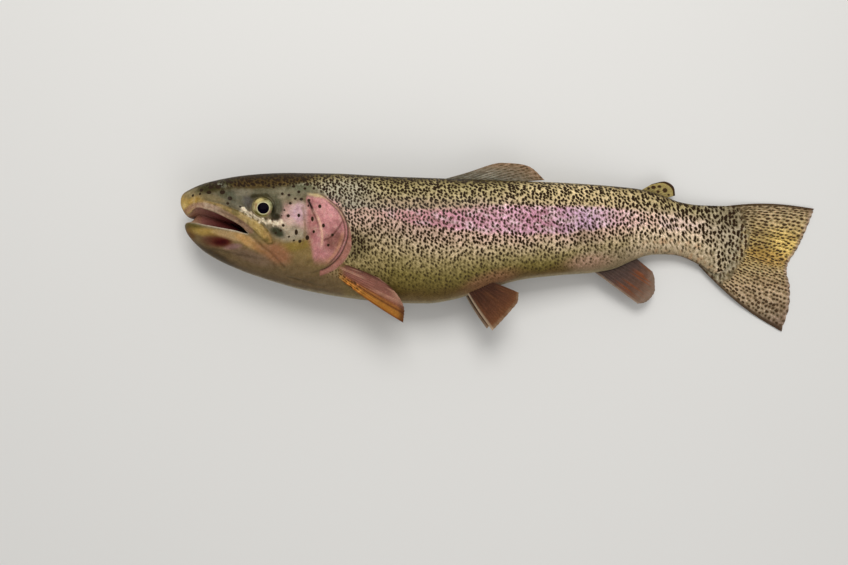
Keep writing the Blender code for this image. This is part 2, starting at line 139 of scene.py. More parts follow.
def near_line(x, y, points, samples=LINE_SAMPLES):
    """Distance to a smooth line through a few side-view points, the place along it, and its side."""
    line = along(points)(np.linspace(0, 1, samples))
    best = np.full(x.shape, 1e9)
    place, side = np.zeros(x.shape), np.zeros(x.shape)
    for i in range(samples - 1):
        a, b = line[i], line[i + 1]
        run = b - a
        t = np.clip(((x - a[0]) * run[0] + (y - a[1]) * run[1]) / (run @ run + 1e-9), 0, 1)
        dx, dy = x - a[0] - t * run[0], y - a[1] - t * run[1]
        distance = np.hypot(dx, dy)
        closer = distance < best
        best = np.where(closer, distance, best)
        place = np.where(closer, (i + t) / (samples - 1), place)
        side = np.where(closer, np.sign(run[0] * dy - run[1] * dx), side)
    return best, place, side


def line_distance(x, y, points):
    return near_line(x, y, points)[0]


def inside_loop(x, y, points):
    """Signed distance to a smooth closed outline through a few points: positive inside it."""
    loop = along([*points, points[0]])(np.linspace(0, 1, LOOP_SAMPLES))
    best = np.full(x.shape, 1e9)
    crossings = np.zeros(x.shape, bool)
    for a, b in zip(loop[:-1], loop[1:]):
        run = b - a
        t = np.clip(((x - a[0]) * run[0] + (y - a[1]) * run[1]) / (run @ run + 1e-9), 0, 1)
        best = np.minimum(best, np.hypot(x - a[0] - t * run[0], y - a[1] - t * run[1]))
        spans = (a[1] > y) != (b[1] > y)
        crossings ^= spans & (x < a[0] + (y - a[1]) * run[0] / (run[1] + (run[1] == 0) * 1e-9))
    return np.where(crossings, best, -best)


def chance(i, j, seed):
    """A repeatable random number from 0 to 1 for each pair of whole numbers."""
    v = np.sin(i * 127.1 + j * 311.7 + seed * 74.7) * 43758.5453
    return v - np.floor(v)


def ripple(x, y, size, seed):
    """Smooth random waves from -1 to 1, about one to each size millimetres."""
    u, v = x / size, y / size
    i, j = np.floor(u), np.floor(v)
    a, b = ease(u - i), ease(v - j)
    low = chance(i, j, seed) * (1 - a) + chance(i + 1, j, seed) * a
    high = chance(i, j + 1, seed) * (1 - a) + chance(i + 1, j + 1, seed) * a
    return 2 * (low * (1 - b) + high * b) - 1


def place_dots(x, y, spots):
    """A field of single spots, each (x, y, radius, height over width): over 0.5 is inside a spot."""
    field = np.zeros(np.shape(x))
    for cx, cy, radius, tall in spots:
        spread = radius / math.sqrt(math.log(2))
        field += np.exp(-(((x - cx) / spread) ** 2 + ((y - cy) / (spread * tall)) ** 2))
    return field


# ------------------------------------------------------------------------------------ the body's form
back = smooth(
    (0, 26.6), (0.5, 28.6), (2.5, 31.2), (6.4, 33.7), (13.4, 37.0), (27, 41.0), (48, 44.6), (76, 46.2),
    (102, 46.2), (150, 44.6), (209, 43.6), (278, 43.0), (315, 41.6), (335, 40.0), (350, 36.7), (365, 31.9),
    (380, 29.6), (395, 29.2), (410, 29.0),
)
belly = smooth(
    (0, 8.4), (2.8, 8.4), (4.3, 4.4), (7.8, -0.6), (13.4, -6.4), (20.5, -11.7), (38, -20.4), (54, -26.4),
    (82, -34.8), (116, -41.2), (150, -44.6), (170, -45.0), (190, -42.2), (212, -35.6), (238, -28.6),
    (270, -24.8), (296, -22.8), (312, -19.8), (328, -13.6), (340, -9.8), (352, -8.8), (365, -9.6),
    (380, -14.8), (394, -23.0), (410, -37.0),
)
half_width = smooth(
    (0, 1.4), (0.7, 3.6), (2.5, 6.6), (6.4, 10.4), (13.4, 13.8), (25, 16.4), (40, 18.2), (58, 19.8),
    (80, 22.2), (100, 23.6), (125, 24.4), (160, 25.0), (200, 24.0), (240, 21.4), (280, 17.6), (315, 13.4),
    (340, 10.2), (362, 8.0), (382, 5.9), (396, 4.2), (404, 2.6), (410, 0.8),
)
jaw_half_width = smooth(
    (2.8, 1.4), (3.4, 3.2), (5.0, 6.0), (8, 9.0), (16, 12.8), (30, 15.6), (49, 19.0), (80, 22.2),
)
FLANK_LEVEL = (  # behind the mouth the two halves of a ring meet at this height
    (49, 2.6), (70, 4.0), (100, 4.0), (160, 3.0), (250, 9.0), (330, 13.0), (380, 7.0), (410, 0.0),
)
upper_lip = smooth(
    (0, 26.2), (0.7, 22.6), (2, 20.2), (4.4, 16.6), (7, 14.9), (9, 15.8), (12, 18.8), (15, 19.8), (20, 18.6),
    (28, 15.8), (35, 12.4), (40, 9.9), (45, 6.6), *FLANK_LEVEL,
)
lower_lip = smooth(
    (2.8, 8.8), (4, 10.2), (7, 11.0), (12, 10.8), (19, 9.2), (28.8, 7.2), (40, 4.9), *FLANK_LEVEL,
)
lean = smooth((325, 0.0), (350, 5.0), (365, 10.0), (380, 15.0), (395, 18.0), (410, 18.0))
spine = smooth(
    (0, 22.0), (60, 23.2), (100, 24.0), (125, 23.9), (160, 24.2), (200, 23.4), (240, 20.9), (280, 17.2),
    (315, 13.0), (340, 9.8), (362, 7.6), (382, 5.8), (396, 4.4), (410, 3.3),
)
SIDE_FULLNESS = 0.9


def section(x, angle, inset):
    """Height and distance from the mid-plane on one flank: angle 0 is the back and pi the belly.

    Each ring is two half ellipses that meet at the level of the mouth, a little fuller at the sides,
    and the lower half narrows to the jaw's width towards the front.
    """
    c, s = np.cos(angle), np.sin(angle)
    upper, lower = upper_lip(x), lower_lip(x)
    y = np.where(c >= 0, upper + (back(x) - upper - inset) * c, lower + (lower - belly(x) - inset) * c)
    narrow = np.where(x < 80, ease((angle - math.pi / 2) / 0.5), 0.0)
    narrow = np.where(x < MOUTH_CORNER, (c < 0) * 1.0, narrow)
    width = half_width(x) + (jaw_half_width(x) - half_width(x)) * narrow - inset
    return y, np.maximum(width, 0.2) * np.abs(s) ** SIDE_FULLNESS


def body_point(station, angle, side, inset, tongue=None):
    """A place on the body's surface, in millimetres.

    A ring's points move back by the tongue times the sine of their angle to the power 1.3, and by the
    tangent of the stalk's lean times their height, and then take the section's height and width there.
    """
    tongue = TAIL_TONGUE * ease((station - 345.0) / (397.0 - 345.0)) if tongue is None else tongue
    x = station + tongue * np.abs(np.sin(angle)) ** 1.3
    y, _ = section(x, angle, inset)
    x = x + (y - (back(station) + belly(station)) / 2) * np.tan(np.radians(lean(station)))
    y, out = section(x, angle, inset)
    return np.stack([x, y, np.maximum(spine(x) + side * out, inset * 0.8 + FLOOR_GAP)], axis=-1)


def unit(v):
    """Vectors of length one, the same way round."""
    return v / np.maximum(np.linalg.norm(v, axis=-1, keepdims=True), 1e-9)


def grid_normals(points, wrap=True):
    """Outward normals of a grid of points, from the cross product of its two directions."""
    down = np.gradient(points, axis=0)
    if wrap:
        across = (np.roll(points, -1, axis=1) - np.roll(points, 1, axis=1)) / 2
    else:
        across = np.gradient(points, axis=1)
    return unit(np.cross(down, across))


# ------------------------------------------------------------------------------------ head relief
GILL_EDGE = [
    (88, 29.6), (95.6, 29.0), (102.6, 24.6), (109.5, 18.4), (113.6, 10.4), (114.6, 2.6), (112.6, -5.2),
    (108.4, -13), (101, -19.5), (90, -23.5), (78, -25), (71, -23), (78, -14), (84, -5), (86.5, 6), (86.5, 18),
]
MEMBRANE_EDGE = [
    (88, 30.4), (96.2, 29.9), (103.6, 25.4), (110.6, 19.0), (114.8, 11), (117.0, 3.4), (117.6, -4),
    (115.6, -11), (111, -17.5), (103, -23), (91, -27), (78, -28.5), (71, -25), (84, -10), (92, 10),
]
RIDGE = [(85, 28.5), (88.8, 24.5), (92.6, 18.5), (95.6, 12.0), (97.6, 5), (98.0, -2), (96.0, -9), (89.4, -15)]
SLIT = [(88.2, 25.6), (89.6, 22.6), (91.2, 19.4), (92.8, 16.2)]
CHEEK_LINE = [(85.0, 20), (85.8, 13), (86.4, 6), (86.0, -1), (84.0, -6)]
SUTURE = [(111.0, 10.2), (108.6, 6.3), (105.6, 2.4), (102.6, -0.4), (99.4, -1.6)]
JAW_CREASE = [(49.6, 2.2), (53.5, -2), (58, -6.4), (62.6, -10), (67, -14.5), (72, -20)]
MAXILLA = [
    (14, 25.4), (21, 24.6), (30, 22.4), (38, 19.6), (46, 16.4), (54, 12.0), (60.4, 6.6), (64.4, 1.0),
    (65.4, -3.4), (62.8, -4.6), (58.6, -1.6), (53.6, 3.0), (47.5, 8.0), (40, 12.8), (30, 17.6), (20, 21.4),
    (14, 23.2),
]
NOSTRILS = [(31.0, 33.0, 1.1), (34.2, 33.6, 0.8)]
JAW_PORES = [(14, 1.6), (21, -1.6), (28.5, -5.4), (36.5, -7.6), (45, -10.4), (53, -12.8)]
GILL_RAYS = 6
CHEEK_BONE = [(67, 17), (66.5, 10), (70, 3), (78, -1.5), (85, -2.6)]
SNOUT_BONE = [(36, 26.5), (43, 22.5), (48, 18.5), (56, 12.8), (64, 8.8)]
CROWN_EDGE = [(28, 35.6), (44, 34.8), (60, 34.0), (78, 34.6), (92, 35.6)]


def gill_relief(x, y):
    """The gill cover stands proud with a sharp rear edge, and a thin skirt of skin shows behind it."""
    gill, skirt = inside_loop(x, y, GILL_EDGE), inside_loop(x, y, MEMBRANE_EDGE)
    d = (0.2 + 1.0 * ease((x - 84) / 22)) * ease(gill / 0.8)
    d += 0.45 * ease(skirt / 0.8) * ease((x - 88) / 10) - 0.4 * bell(gill + 0.5, 0.6) * ease((x - 84) / 12)
    d -= 0.22 * bell(gill - 1.6, 0.5) * ease((x - 98) / 8)
    far, place, side = near_line(x, y, RIDGE)
    d += (0.75 * bell(far, 1.5) - 0.5 * bell(far * side - 1.9, 1.0)) * ease(place / 0.1)
    d -= 0.5 * bell(line_distance(x, y, SLIT), 0.5) + 0.3 * bell(line_distance(x, y, CHEEK_LINE), 0.8)
    return d - 0.42 * bell(line_distance(x, y, SUTURE), 0.65)


def jaw_relief(x, y):
    """The upper jaw's bone with its groove, the fold behind the mouth, pores, and folds under the throat."""
    bone = inside_loop(x, y, MAXILLA)
    d = 0.95 * ease(bone / 1.2) * (0.3 + 0.7 * ease((x - 20) / 25)) - 0.45 * bell(bone + 0.7, 0.6)
    d += 0.2 * bell(bone - 2.3, 0.5) - 0.16 * bell(bone - 1.5, 0.4)
    far, place, _ = near_line(x, y, JAW_CREASE)
    d += 0.35 * bell(far - 2.2, 1.2) - 0.85 * bell(far, 0.8) * ease(place / 0.06)
    for cx, cy in JAW_PORES:
        d -= 0.3 * bell(np.hypot(x - cx, y - cy), 0.45)
    for k in range(GILL_RAYS):
        bend = [(70 + 3 * k, -25 - 1.3 * k), (84 + 3 * k, -28.5 - 0.9 * k), (98 + 2.4 * k, -27.5 - 0.9 * k)]
        far, place, _ = near_line(x, y, bend, 12)
        d -= 0.4 * bell(far, 0.55) * ease(place / 0.2)
    low = ease((lower_lip(x) - y - 1.5) / 3) * (x < 62)
    return d + low * (0.3 * ripple(x, y * 1.6, 9, 3) - 0.25 * bell(y - 4.6 + 0.34 * x, 0.9))


def skull_relief(x, y):
    """Nostrils, the brow over the eye, the sunk socket, and bones that show through the cheek's skin."""
    r = eye_distance(x, y)
    d = 0.45 * bell(r - 7.6, 0.7) - 0.2 * bell(r - 9.4, 0.9) - 4.6 * ease((7.0 - r) / 0.9)
    d += 0.5 * bell(y - 29.2 + 0.012 * (x - 58) ** 2, 1.3) * ease((x - 48) / 5) * ease((70 - x) / 5)
    for cx, cy, size in NOSTRILS:
        r = np.hypot(x - cx, (y - cy) * 1.2)
        d += 0.4 * bell(r - size * 1.4, 0.4) - 1.5 * bell(r, size * 0.8)
    for groove, deep, wide in ((CHEEK_BONE, 0.22, 0.8), (SNOUT_BONE, 0.3, 0.8), (CROWN_EDGE, 0.28, 1.3)):
        d -= deep * bell(line_distance(x, y, groove), wide)
    return d


def head_relief(x, y, facing):
    """How far the head's features stand out of the plain form, in millimetres, at side-view places."""
    d = gill_relief(x, y) + jaw_relief(x, y) + skull_relief(x, y)
    rough = ease((eye_distance(x, y) - 8) / 2) * ease((x - 4) / 8)
    d += (0.09 * ripple(x, y, 3.1, 4) + 0.06 * ripple(x, y, 1.7, 5) + 0.03 * ripple(x, y, 0.9, 6)) * rough
    return d * np.clip(facing * 1.7, 0, 1) * ease((124 - x) / 4)


def eye_distance(x, y):
    """Distance from the eye's centre, a little drawn out towards the snout."""
    dx, dy = x - EYE_X, y - EYE_Y
    return np.hypot(dx * np.where(dx < 0, 0.95, 1.03), dy * 1.02)


# ------------------------------------------------------------------------------------ colours
def rgb(red, green, blue):
    """A colour as it looks on screen, 0 to 255, as linear light."""
    c = np.array([red, green, blue]) / 255.0
    return np.where(c <= 0.04045, c / 12.92, ((c + 0.055) / 1.055) ** 2.4)


def ramp(t, *stops):
    """Blends colours through (place, colour) stops."""
    places = [stop[0] for stop in stops]
    shades = np.array([rgb(*stop[1]) for stop in stops])
    return np.stack([np.interp(t, places, shades[:, k]) for k in range(3)], axis=-1)


def lay(base, colour, mask):
    """Paints a colour over another through a mask from 0 to 1."""
    return base + (rgb(*colour) - base) * np.clip(mask, 0, 1)[..., None]


def lay_all(base, layers):
    """Paints (colour, mask) layers over a colour, one after another."""
    for colour, mask in layers:
        base = lay(base, colour, mask)
    return base


def patch(x, y, cx, cy, wide, tall, turn, soft):
    """A soft-edged oval mask at a side-view place, turned by some degrees."""
    a = math.radians(turn)
    dx, dy = x - cx, y - cy
    r = np.hypot((dx * math.cos(a) + dy * math.sin(a)) / wide, (dy * math.cos(a) - dx * math.sin(a)) / tall)
    return ease((1 + soft - r) / (2 * soft))


stripe_middle = smooth(
    (112, 17.5), (132, 17.5), (150, 15.5), (175, 13.5), (200, 13.5), (250, 13.5), (285, 15.5), (310, 17.0),
    (340, 16), (380, 12), (404, 8),
)
stripe_half = smooth(
    (112, 3), (132, 2.4), (150, 4.2), (175, 7), (200, 9), (250, 10.5), (290, 8.5), (318, 6.5), (404, 5),
)


def trunk_paint(x, y):
    """Ground colours of the trunk: olive back, rose stripe, cream and olive flank, tan belly, with painted
    shade darkening the olive low on the flank towards the belly.
    """
    middle, half = stripe_middle(x), stripe_half(x)
    wander = 1.6 * ripple(x, y, 9, 11) + 1.0 * ripple(x, y, 3.5, 12)
    over = (y + wander - middle - half) / np.maximum(back(x) - middle - half, 4)
    under = (y + wander * ease((y - belly(x)) / 7) - belly(x)) / np.maximum(middle - half - belly(x), 4)
    upper = ramp(
        over, (0.0, (166, 146, 126)), (0.3, (161, 147, 114)), (0.6, (157, 145, 105)), (0.78, (130, 118, 80)),
        (0.9, (88, 77, 44)), (1.0, (46, 38, 18)),
    )
    upper = lay(upper, (150, 145, 128), 0.85 * ease((146 - x) / 30) * patch(x, y, 115, 27, 32, 13, 0, 0.35))
    upper = lay(upper, (190, 170, 130), 0.6 * patch(x, y, 290, 31, 60, 8, 0, 0.6))
    # Painted shade: the lower ramp darkens from the flank towards the belly, darkest just above a thin paler
    # strip at the belly's edge.
    lower = ramp(
        under, (0.0, (150, 134, 104)), (0.05, (126, 106, 72)), (0.13, (106, 86, 48)), (0.22, (108, 94, 48)),
        (0.36, (120, 108, 60)), (0.54, (146, 132, 92)), (0.74, (174, 156, 128)), (0.9, (182, 156, 138)),
        (1.0, (190, 160, 146)),
    )
    lower = lay_all(lower, (
        ((160, 144, 122), 0.7 * ease((x - 268) / 20) * ease((0.75 - under) / 0.4)),
        ((150, 108, 84), 0.7 * patch(x, y, 214, -29, 19, 6, 18, 0.6)),
        ((172, 132, 118), 0.5 * patch(x, y, 288, -15, 18, 5, 4, 0.6)),
        ((150, 134, 98), 0.5 * ease((150 - x) / 30) * ease((0.95 - under) / 0.3)),
        ((198, 180, 154), 0.75 * ease((x - 314) / 20)),
        ((146, 128, 104), 0.6 * ease((x - 300) / 20) * ease((0.16 - under) / 0.14)),
    ))
    rose = ramp(
        x, (125, (176, 148, 130)), (140, (190, 148, 144)), (160, (188, 138, 144)), (185, (184, 132, 146)),
        (210, (187, 141, 157)), (232, (189, 147, 164)), (255, (174, 132, 148)), (285, (180, 150, 173)),
        (310, (190, 156, 162)), (335, (200, 168, 156)), (362, (194, 170, 162)), (404, (178, 160, 138)),
    )
    dusky = 0.6 * patch(x, y, 253, 15, 16, 8, 0, 0.7)
    rose = lay(rose, (142, 78, 100), dusky * (0.5 + 0.5 * ripple(x, y, 4, 9)))
    # painted highlight: pale lilac streaks of sheen along the rows of scales in the stripe
    rose = lay(rose, (210, 188, 196), 0.5 * ease(ripple(x, y * 2.2, 6, 21) * 1.4))
    colour = np.where((over > 0)[..., None], upper, lower)
    edge = ease((half + 1.6 + 0.5 * wander - np.abs(y - middle + wander * 0.4)) / 4.2)
    strength = np.interp(x, [120, 135, 155, 300, 325, 380], [0.1, 0.6, 1.0, 1.0, 0.75, 0.6])
    colour = colour + (rose - colour) * (edge * strength)[..., None]
    low = y < middle - 12
    colour = lay_all(colour, (
        ((190, 132, 88), 0.35 * low * ease((x - 322) / 20) * ease(ripple(x, y, 3, 31))),
        # painted shade behind the gill cover, mixed with darker mottling
        ((84, 76, 48), 0.75 * patch(x, y, 119, -5, 10, 9, -20, 0.6)),
        ((84, 72, 44), 0.35 * patch(x, y, 286, 2, 12, 8, 0, 0.7)),
        ((206, 188, 146), 0.45 * patch(x, y, 272, 37, 34, 7, -4, 0.6)),
    ))
    colour = colour * (1 - 0.2 * patch(x, y, 145, 13, 56, 17, 0, 0.5))[..., None]
    colour = lay_all(colour, (
        ((140, 120, 98), 0.6 * patch(x, y, 172, 23, 38, 3.4, -4, 0.7)),
        ((150, 141, 118), 0.8 * ease((x + 0.25 * y - 372) / 34)),
        ((70, 58, 44), 0.65 * ease((0.03 - under) / 0.02) * ease((x - 345) / 20)),
    ))
    return tail_shade(colour, x, y)


def tail_shade(colour, x, y):
    """Darker top where the stalk runs into the tail fin, on stalk and fin alike."""
    return lay(colour, (102, 90, 64), 0.55 * patch(x, y, 414, 22, 17, 9, 8, 0.6))


def face_paint(x, y):
    """The head above the mouth: ochre snout, olive crown, blue-grey before the eye, rosy cheek, painted
    highlights on the snout's tip and the forehead, and painted shade over the eye.
    """
    line = 33.5 + 0.05 * (x - 60)
    colour = ramp(
        y - line, (-9, (122, 110, 84)), (-2, (112, 104, 80)), (0.6, (92, 78, 44)), (4, (76, 60, 30)),
        (12, (38, 30, 14)),
    )
    low = ramp(
        y + 0.28 * x, (-16, (90, 74, 54)), (-6, (112, 94, 66)), (4, (122, 102, 68)), (14, (142, 120, 74))
    )
    colour = colour + (low - colour) * ease((14 - y - 0.12 * x) / 12)[..., None]
    # painted highlight: a glint of gloss on the forehead
    forehead_glint = 0.55 * patch(x, y, 30.4, 35.6, 4, 1.6, -14, 0.7) * (0.6 + 0.6 * ripple(x, y, 1.6, 33))
    # painted shade: a dark arc along the top of the eye's socket, under the brow
    brow = 0.7 * bell(np.hypot(x - 58.2, y - 20.3) - 8.3, 0.7) * ease((y - 19 + 0.6 * (x - 58)) / 4)
    return lay_all(colour, (
        ((190, 156, 78), patch(x, y, 5, 23.0, 13, 7, 4, 0.4)),
        # painted highlight on the snout's tip
        ((216, 192, 118), 0.6 * patch(x, y, 4.6, 22.4, 3.4, 2.4, 30, 0.7)),
        ((152, 138, 98), 0.8 * patch(x, y, 11, 30.4, 8, 3.2, 18, 0.5)),
        ((58, 58, 32), 0.9 * patch(x, y, 25, 35.4, 13, 3.8, 15, 0.5)),
        ((146, 148, 132), forehead_glint),
        ((104, 102, 84), 0.9 * patch(x, y, 42, 26, 12, 7, -8, 0.5)),
        ((78, 84, 66), 0.7 * patch(x, y, 36, 29.4, 4, 2.4, -30, 0.6)),
        ((82, 78, 74), 0.85 * patch(x, y, 48.5, 24.0, 3.4, 5, 0, 0.5)),
        ((140, 126, 88), 0.7 * patch(x, y, 24, 26.4, 9, 2.2, -14, 0.6)),
        ((84, 84, 60), 0.7 * patch(x, y, 32, 28.6, 6, 2.0, -24, 0.6)),
        ((146, 138, 116), 0.5 * patch(x, y, 47, 30.5, 8, 2.4, -6, 0.6)),
        ((94, 92, 70), 0.75 * patch(x, y, 58, 31.0, 9, 2.6, 0, 0.5)),
        # painted shade along the top of the eye's socket
        ((58, 54, 34), 0.85 * patch(x, y, 57.5, 28.2, 7.2, 1.5, 0, 0.5)),
        ((126, 122, 98), 0.8 * patch(x, y, 74, 30, 14, 4.5, 0, 0.5)),
        ((92, 92, 68), 0.7 * patch(x, y, 66, 26.0, 3.2, 3.2, 0, 0.6)),
        ((162, 150, 124), 0.5 * patch(x, y, 71, 27.4, 3, 2.2, 0, 0.6)),
        ((108, 112, 88), 0.8 * patch(x, y, 87, 34.4, 10, 3.2, 0, 0.5)),
        ((206, 166, 158), 0.95 * patch(x, y, 79, 13.0, 12.4, 10.4, 0, 0.35)),
        ((214, 178, 190), 0.85 * patch(x, y, 81.6, 16.4, 4.8, 6.6, 0, 0.6)),
        ((146, 134, 104), 0.6 * patch(x, y, 78, 24.6, 5, 2.2, 0, 0.6)),
        ((174, 162, 138), 0.95 * patch(x, y, 76, 3.4, 11, 6.0, -12, 0.4)),
        ((144, 122, 58), 0.9 * patch(x, y, 81, -5.4, 13, 3.2, 12, 0.5)),
        ((158, 108, 78), 0.85 * patch(x, y, 68, -10.5, 9, 6, -30, 0.5)),
        ((206, 188, 160), 0.7 * patch(x, y, 72, 8.4, 5, 2.6, -20, 0.6)),
        ((220, 190, 176), 0.7 * patch(x, y, 76.4, 10.4, 3.8, 2.8, -10, 0.6)),
        ((48, 56, 40), 0.95 * patch(x, y, 68.4, 3.6, 5.2, 3.1, -32, 0.45)),
        ((86, 88, 68), 0.9 * patch(x, y, 67.8, 18.6, 4.4, 7.0, -8, 0.5)),
        ((20, 24, 8), 1.0 * patch(x, y, 65.3, 18.6, 1.7, 3.2, -8, 0.5)),
        ((48, 44, 30), 0.95 * patch(x, y, 67.0, 13.8, 3.6, 2.4, -14, 0.5)),
        ((56, 54, 32), 0.75 * patch(x, y, 51.6, 28.0, 1.9, 1.2, 20, 0.6)),
        ((52, 50, 28), 0.8 * patch(x, y, 61.0, 28.6, 2.0, 1.0, -30, 0.6)),
        ((66, 62, 38), brow),
        ((96, 76, 50), 0.5 * patch(x, y, 58.5, 12.6, 6, 1.0, 4, 0.6)),
    ))


def gill_paint(colour, x, y):
    """The rosy gill cover: pale top edge, a painted highlight along the ridge, brown seams, painted shade in
    the slit and just outside the raised rear edge, and the skirt of skin behind it.
    """
    gill, skirt = inside_loop(x, y, GILL_EDGE), inside_loop(x, y, MEMBRANE_EDGE)
    slit, along_slit, _ = near_line(x, y, SLIT)
    ridge, along_ridge, ridge_side = near_line(x, y, RIDGE)
    rosy = ease((x - 87.5 + 0.12 * (y - 10)) / 3.2) * ease((30 - y) / 4) * ease((y + 20) / 9)
    dark_edge = ease((along_ridge - 0.2) / 0.1) * ease((0.62 - along_ridge) / 0.2)
    behind = ease((0.2 - gill) / 0.6) * ease((10 - y) / 6) * (x > 96)
    return lay_all(colour, (
        ((198, 134, 136), 0.95 * rosy * ease(gill + 1)),
        ((222, 156, 158), 0.8 * patch(x, y, 101, 18, 8, 9, 0, 0.5)),
        ((172, 110, 106), 0.6 * patch(x, y, 91, 8, 3.4, 13, 0, 0.5)),
        ((206, 186, 136), 0.95 * patch(x, y, 93.5, 29.0, 7, 1.7, -16, 0.5) * ease(gill + 1)),
        # painted highlight along the ridge
        ((236, 190, 166), 0.95 * bell(ridge, 0.85) * ease((19 - y) / 7) * ease((y + 8) / 6)),
        ((138, 108, 66), 0.5 * bell(line_distance(x, y, CHEEK_LINE), 0.8)),
        # painted shade: a near-black line in the crease of the slit
        ((30, 8, 8), 1.15 * bell(slit, 0.95) * ease(along_slit / 0.12) * ease((0.9 - along_slit) / 0.3)),
        ((106, 62, 52), 0.75 * bell(ridge * ridge_side + 1.5, 0.7) * dark_edge),
        ((132, 84, 72), 0.8 * patch(x, y, 106, -2, 7, 5.5, 50, 0.5)),
        ((190, 138, 106), 0.75 * bell(gill - 3.2, 1.2) * ease((6 - y) / 6) * ease((x - 98) / 6)),
        ((88, 48, 42), 0.8 * bell(line_distance(x, y, SUTURE), 0.7)),
        ((172, 118, 106), 0.95 * ease(skirt + 0.5) * behind),
        ((204, 180, 142), 0.8 * bell(gill - 0.5, 0.5) * ease((x - 94) / 5) * ease((y - 8) / 6)),
        ((84, 52, 36), 0.85 * bell(gill - 1.5, 0.5) * ease((x - 99) / 5)),
        # painted shade just outside the cover's raised rear edge
        ((50, 36, 26), 0.85 * bell(gill + 0.4, 0.5) * ease((x - 94) / 5)),
    ))


FLESHY_LIP = [(6, 18.0), (12.6, 21.4), (19, 21.4), (26, 19.4), (32, 16.4), (38, 13.2), (44, 9.4), (50, 4.6)]
HIGHLIGHT_STREAK = [(42.2, 20.0), (48, 17.0), (54, 13.6), (60, 11.0), (66, 9.4), (71, 10)]
GUM_LINE = [(10, 11.0), (13, 10.6), (19, 9.0), (28.8, 7.0), (40, 4.7), (48, 2.8)]


def jaw_paint(colour, x, y):
    """Both jaws: yellow-green bones, a pale fleshy lip, a near-white streak of painted highlight along the
    bones' upper edge under the eye, painted shadow along the lower jaw's bottom edge, and the red bruise
    under the gum.
    """
    bone = inside_loop(x, y, MAXILLA)
    band = ramp(
        x, (10, (164, 136, 76)), (30, (154, 130, 80)), (45, (176, 152, 98)), (56, (184, 158, 94)),
        (65, (170, 134, 80)),
    )
    band = lay(band, (98, 90, 44), 0.7 * ease(ripple(x, y, 2.2, 13) * 1.5 - 0.2))
    colour = colour + (band - colour) * (ease((bone + 0.4) / 0.9))[..., None]
    colour = lay(colour, (84, 72, 34), 0.75 * bell(bone - 0.4, 0.55) * ease((x - 30) / 10))
    far = line_distance(x, y, FLESHY_LIP)
    flesh = ramp(
        x, (6, (162, 126, 92)), (14, (164, 132, 110)), (26, (170, 146, 124)), (34, (156, 128, 104)),
        (48, (136, 106, 82)),
    )
    flesh = lay(flesh, (200, 178, 156), 0.6 * ease(ripple(x, 0 * x, 0.9, 3)) * (x < 32) * (x > 13))
    colour = colour + (flesh - colour) * (0.95 * ease((2.9 - far) / 1.6))[..., None]
    # painted highlight: a jagged near-white streak along the bones' upper edge below the eye
    far = line_distance(x, y, HIGHLIGHT_STREAK)
    jag = 1.0 * ripple(x, y, 2.0, 15) + 1.3 * ripple(x, y, 1.1, 17)
    streak = ease((1.7 + jag - far) / 0.7) * ease((x - 42) / 3) * ease((74 - x) / 4)
    colour = lay(colour, (255, 240, 210), np.clip(streak * (0.74 + 0.5 * ripple(x, y, 1.2, 16)), 0, 0.95))
    colour = lay_all(colour, (
        ((104, 92, 44), patch(x, y, 9, 7, 9, 3.4, -8, 0.45) * (y < 12)),
        ((112, 76, 26), 0.9 * patch(x, y, 7, 2.6, 4.5, 5, -20, 0.5) * (y < 10)),
        ((174, 146, 76), 0.9 * patch(x, y, 21, 3.6, 12, 2.6, -8, 0.5) * (y < 9)),
        ((180, 152, 108), 0.95 * patch(x, y, 38, 1.2, 12, 2.8, -12, 0.4) * (y < 9)),
        ((190, 150, 92), 0.95 * patch(x, y, 49, -3.0, 11, 2.8, -32, 0.5)),
        ((146, 104, 68), 0.7 * patch(x, y, 59, -9, 9, 3.4, -40, 0.5)),
        ((126, 104, 84), 0.8 * patch(x, y, 50, -12.5, 15, 4.0, -20, 0.5)),
        ((98, 58, 46), 0.85 * patch(x, y, 25, -2.0, 8, 4.0, -8, 0.5)),
        ((150, 116, 112), 0.8 * patch(x, y, 38, -6.0, 6, 1.8, 8, 0.5)),
        ((96, 34, 30), 0.95 * patch(x, y, 30.5, -2.8, 7.0, 3.0, -4, 0.5)),
        ((70, 4, 10), 0.95 * patch(x, y, 30.6, -2.8, 4.4, 1.5, 4, 0.6)),
        # painted shadow along the lower jaw's bottom edge
        ((72, 58, 40), 0.75 * patch(x, y, 24, -11.5, 18, 3.0, -28, 0.6)),
        ((76, 62, 46), 0.5 * bell(y + 8.5 + 0.22 * (x - 30), 1.0) * ease((x - 18) / 8) * ease((60 - x) / 10)),
    ))
    return lay(colour, (196, 186, 166), 0.95 * bell(line_distance(x, y, GUM_LINE), 0.8) * (y < 14))


def head_paint(x, y):
    """Ground colours of the whole head, with a fine uneven mottle."""
    colour = jaw_paint(gill_paint(face_paint(x, y), x, y), x, y)
    mottle = 0.5 * ripple(x, y, 2.4, 61) + 0.5 * ripple(x, y, 1.2, 62)
    keep = ease((eye_distance(x, y) - 7) / 1.5) * (0.35 + 0.65 * ease((y + 0.25 * x - 14) / 10))
    colour = lay(colour, (58, 52, 32), 0.44 * keep * np.clip(-mottle, 0, 1))
    light = np.clip(colour.mean(-1) * 4 - 0.2, 0.04, 1)
    colour = lay(colour, (226, 214, 184), 0.34 * keep * light * np.clip(mottle, 0, 1))
    bright = ease((colour.mean(-1) - 0.035) / 0.07)[..., None]
    return colour * (np.array([0.82, 0.78, 0.7]) * (1 - bright) + np.array([1.1, 1.1, 1.26]) * bright)


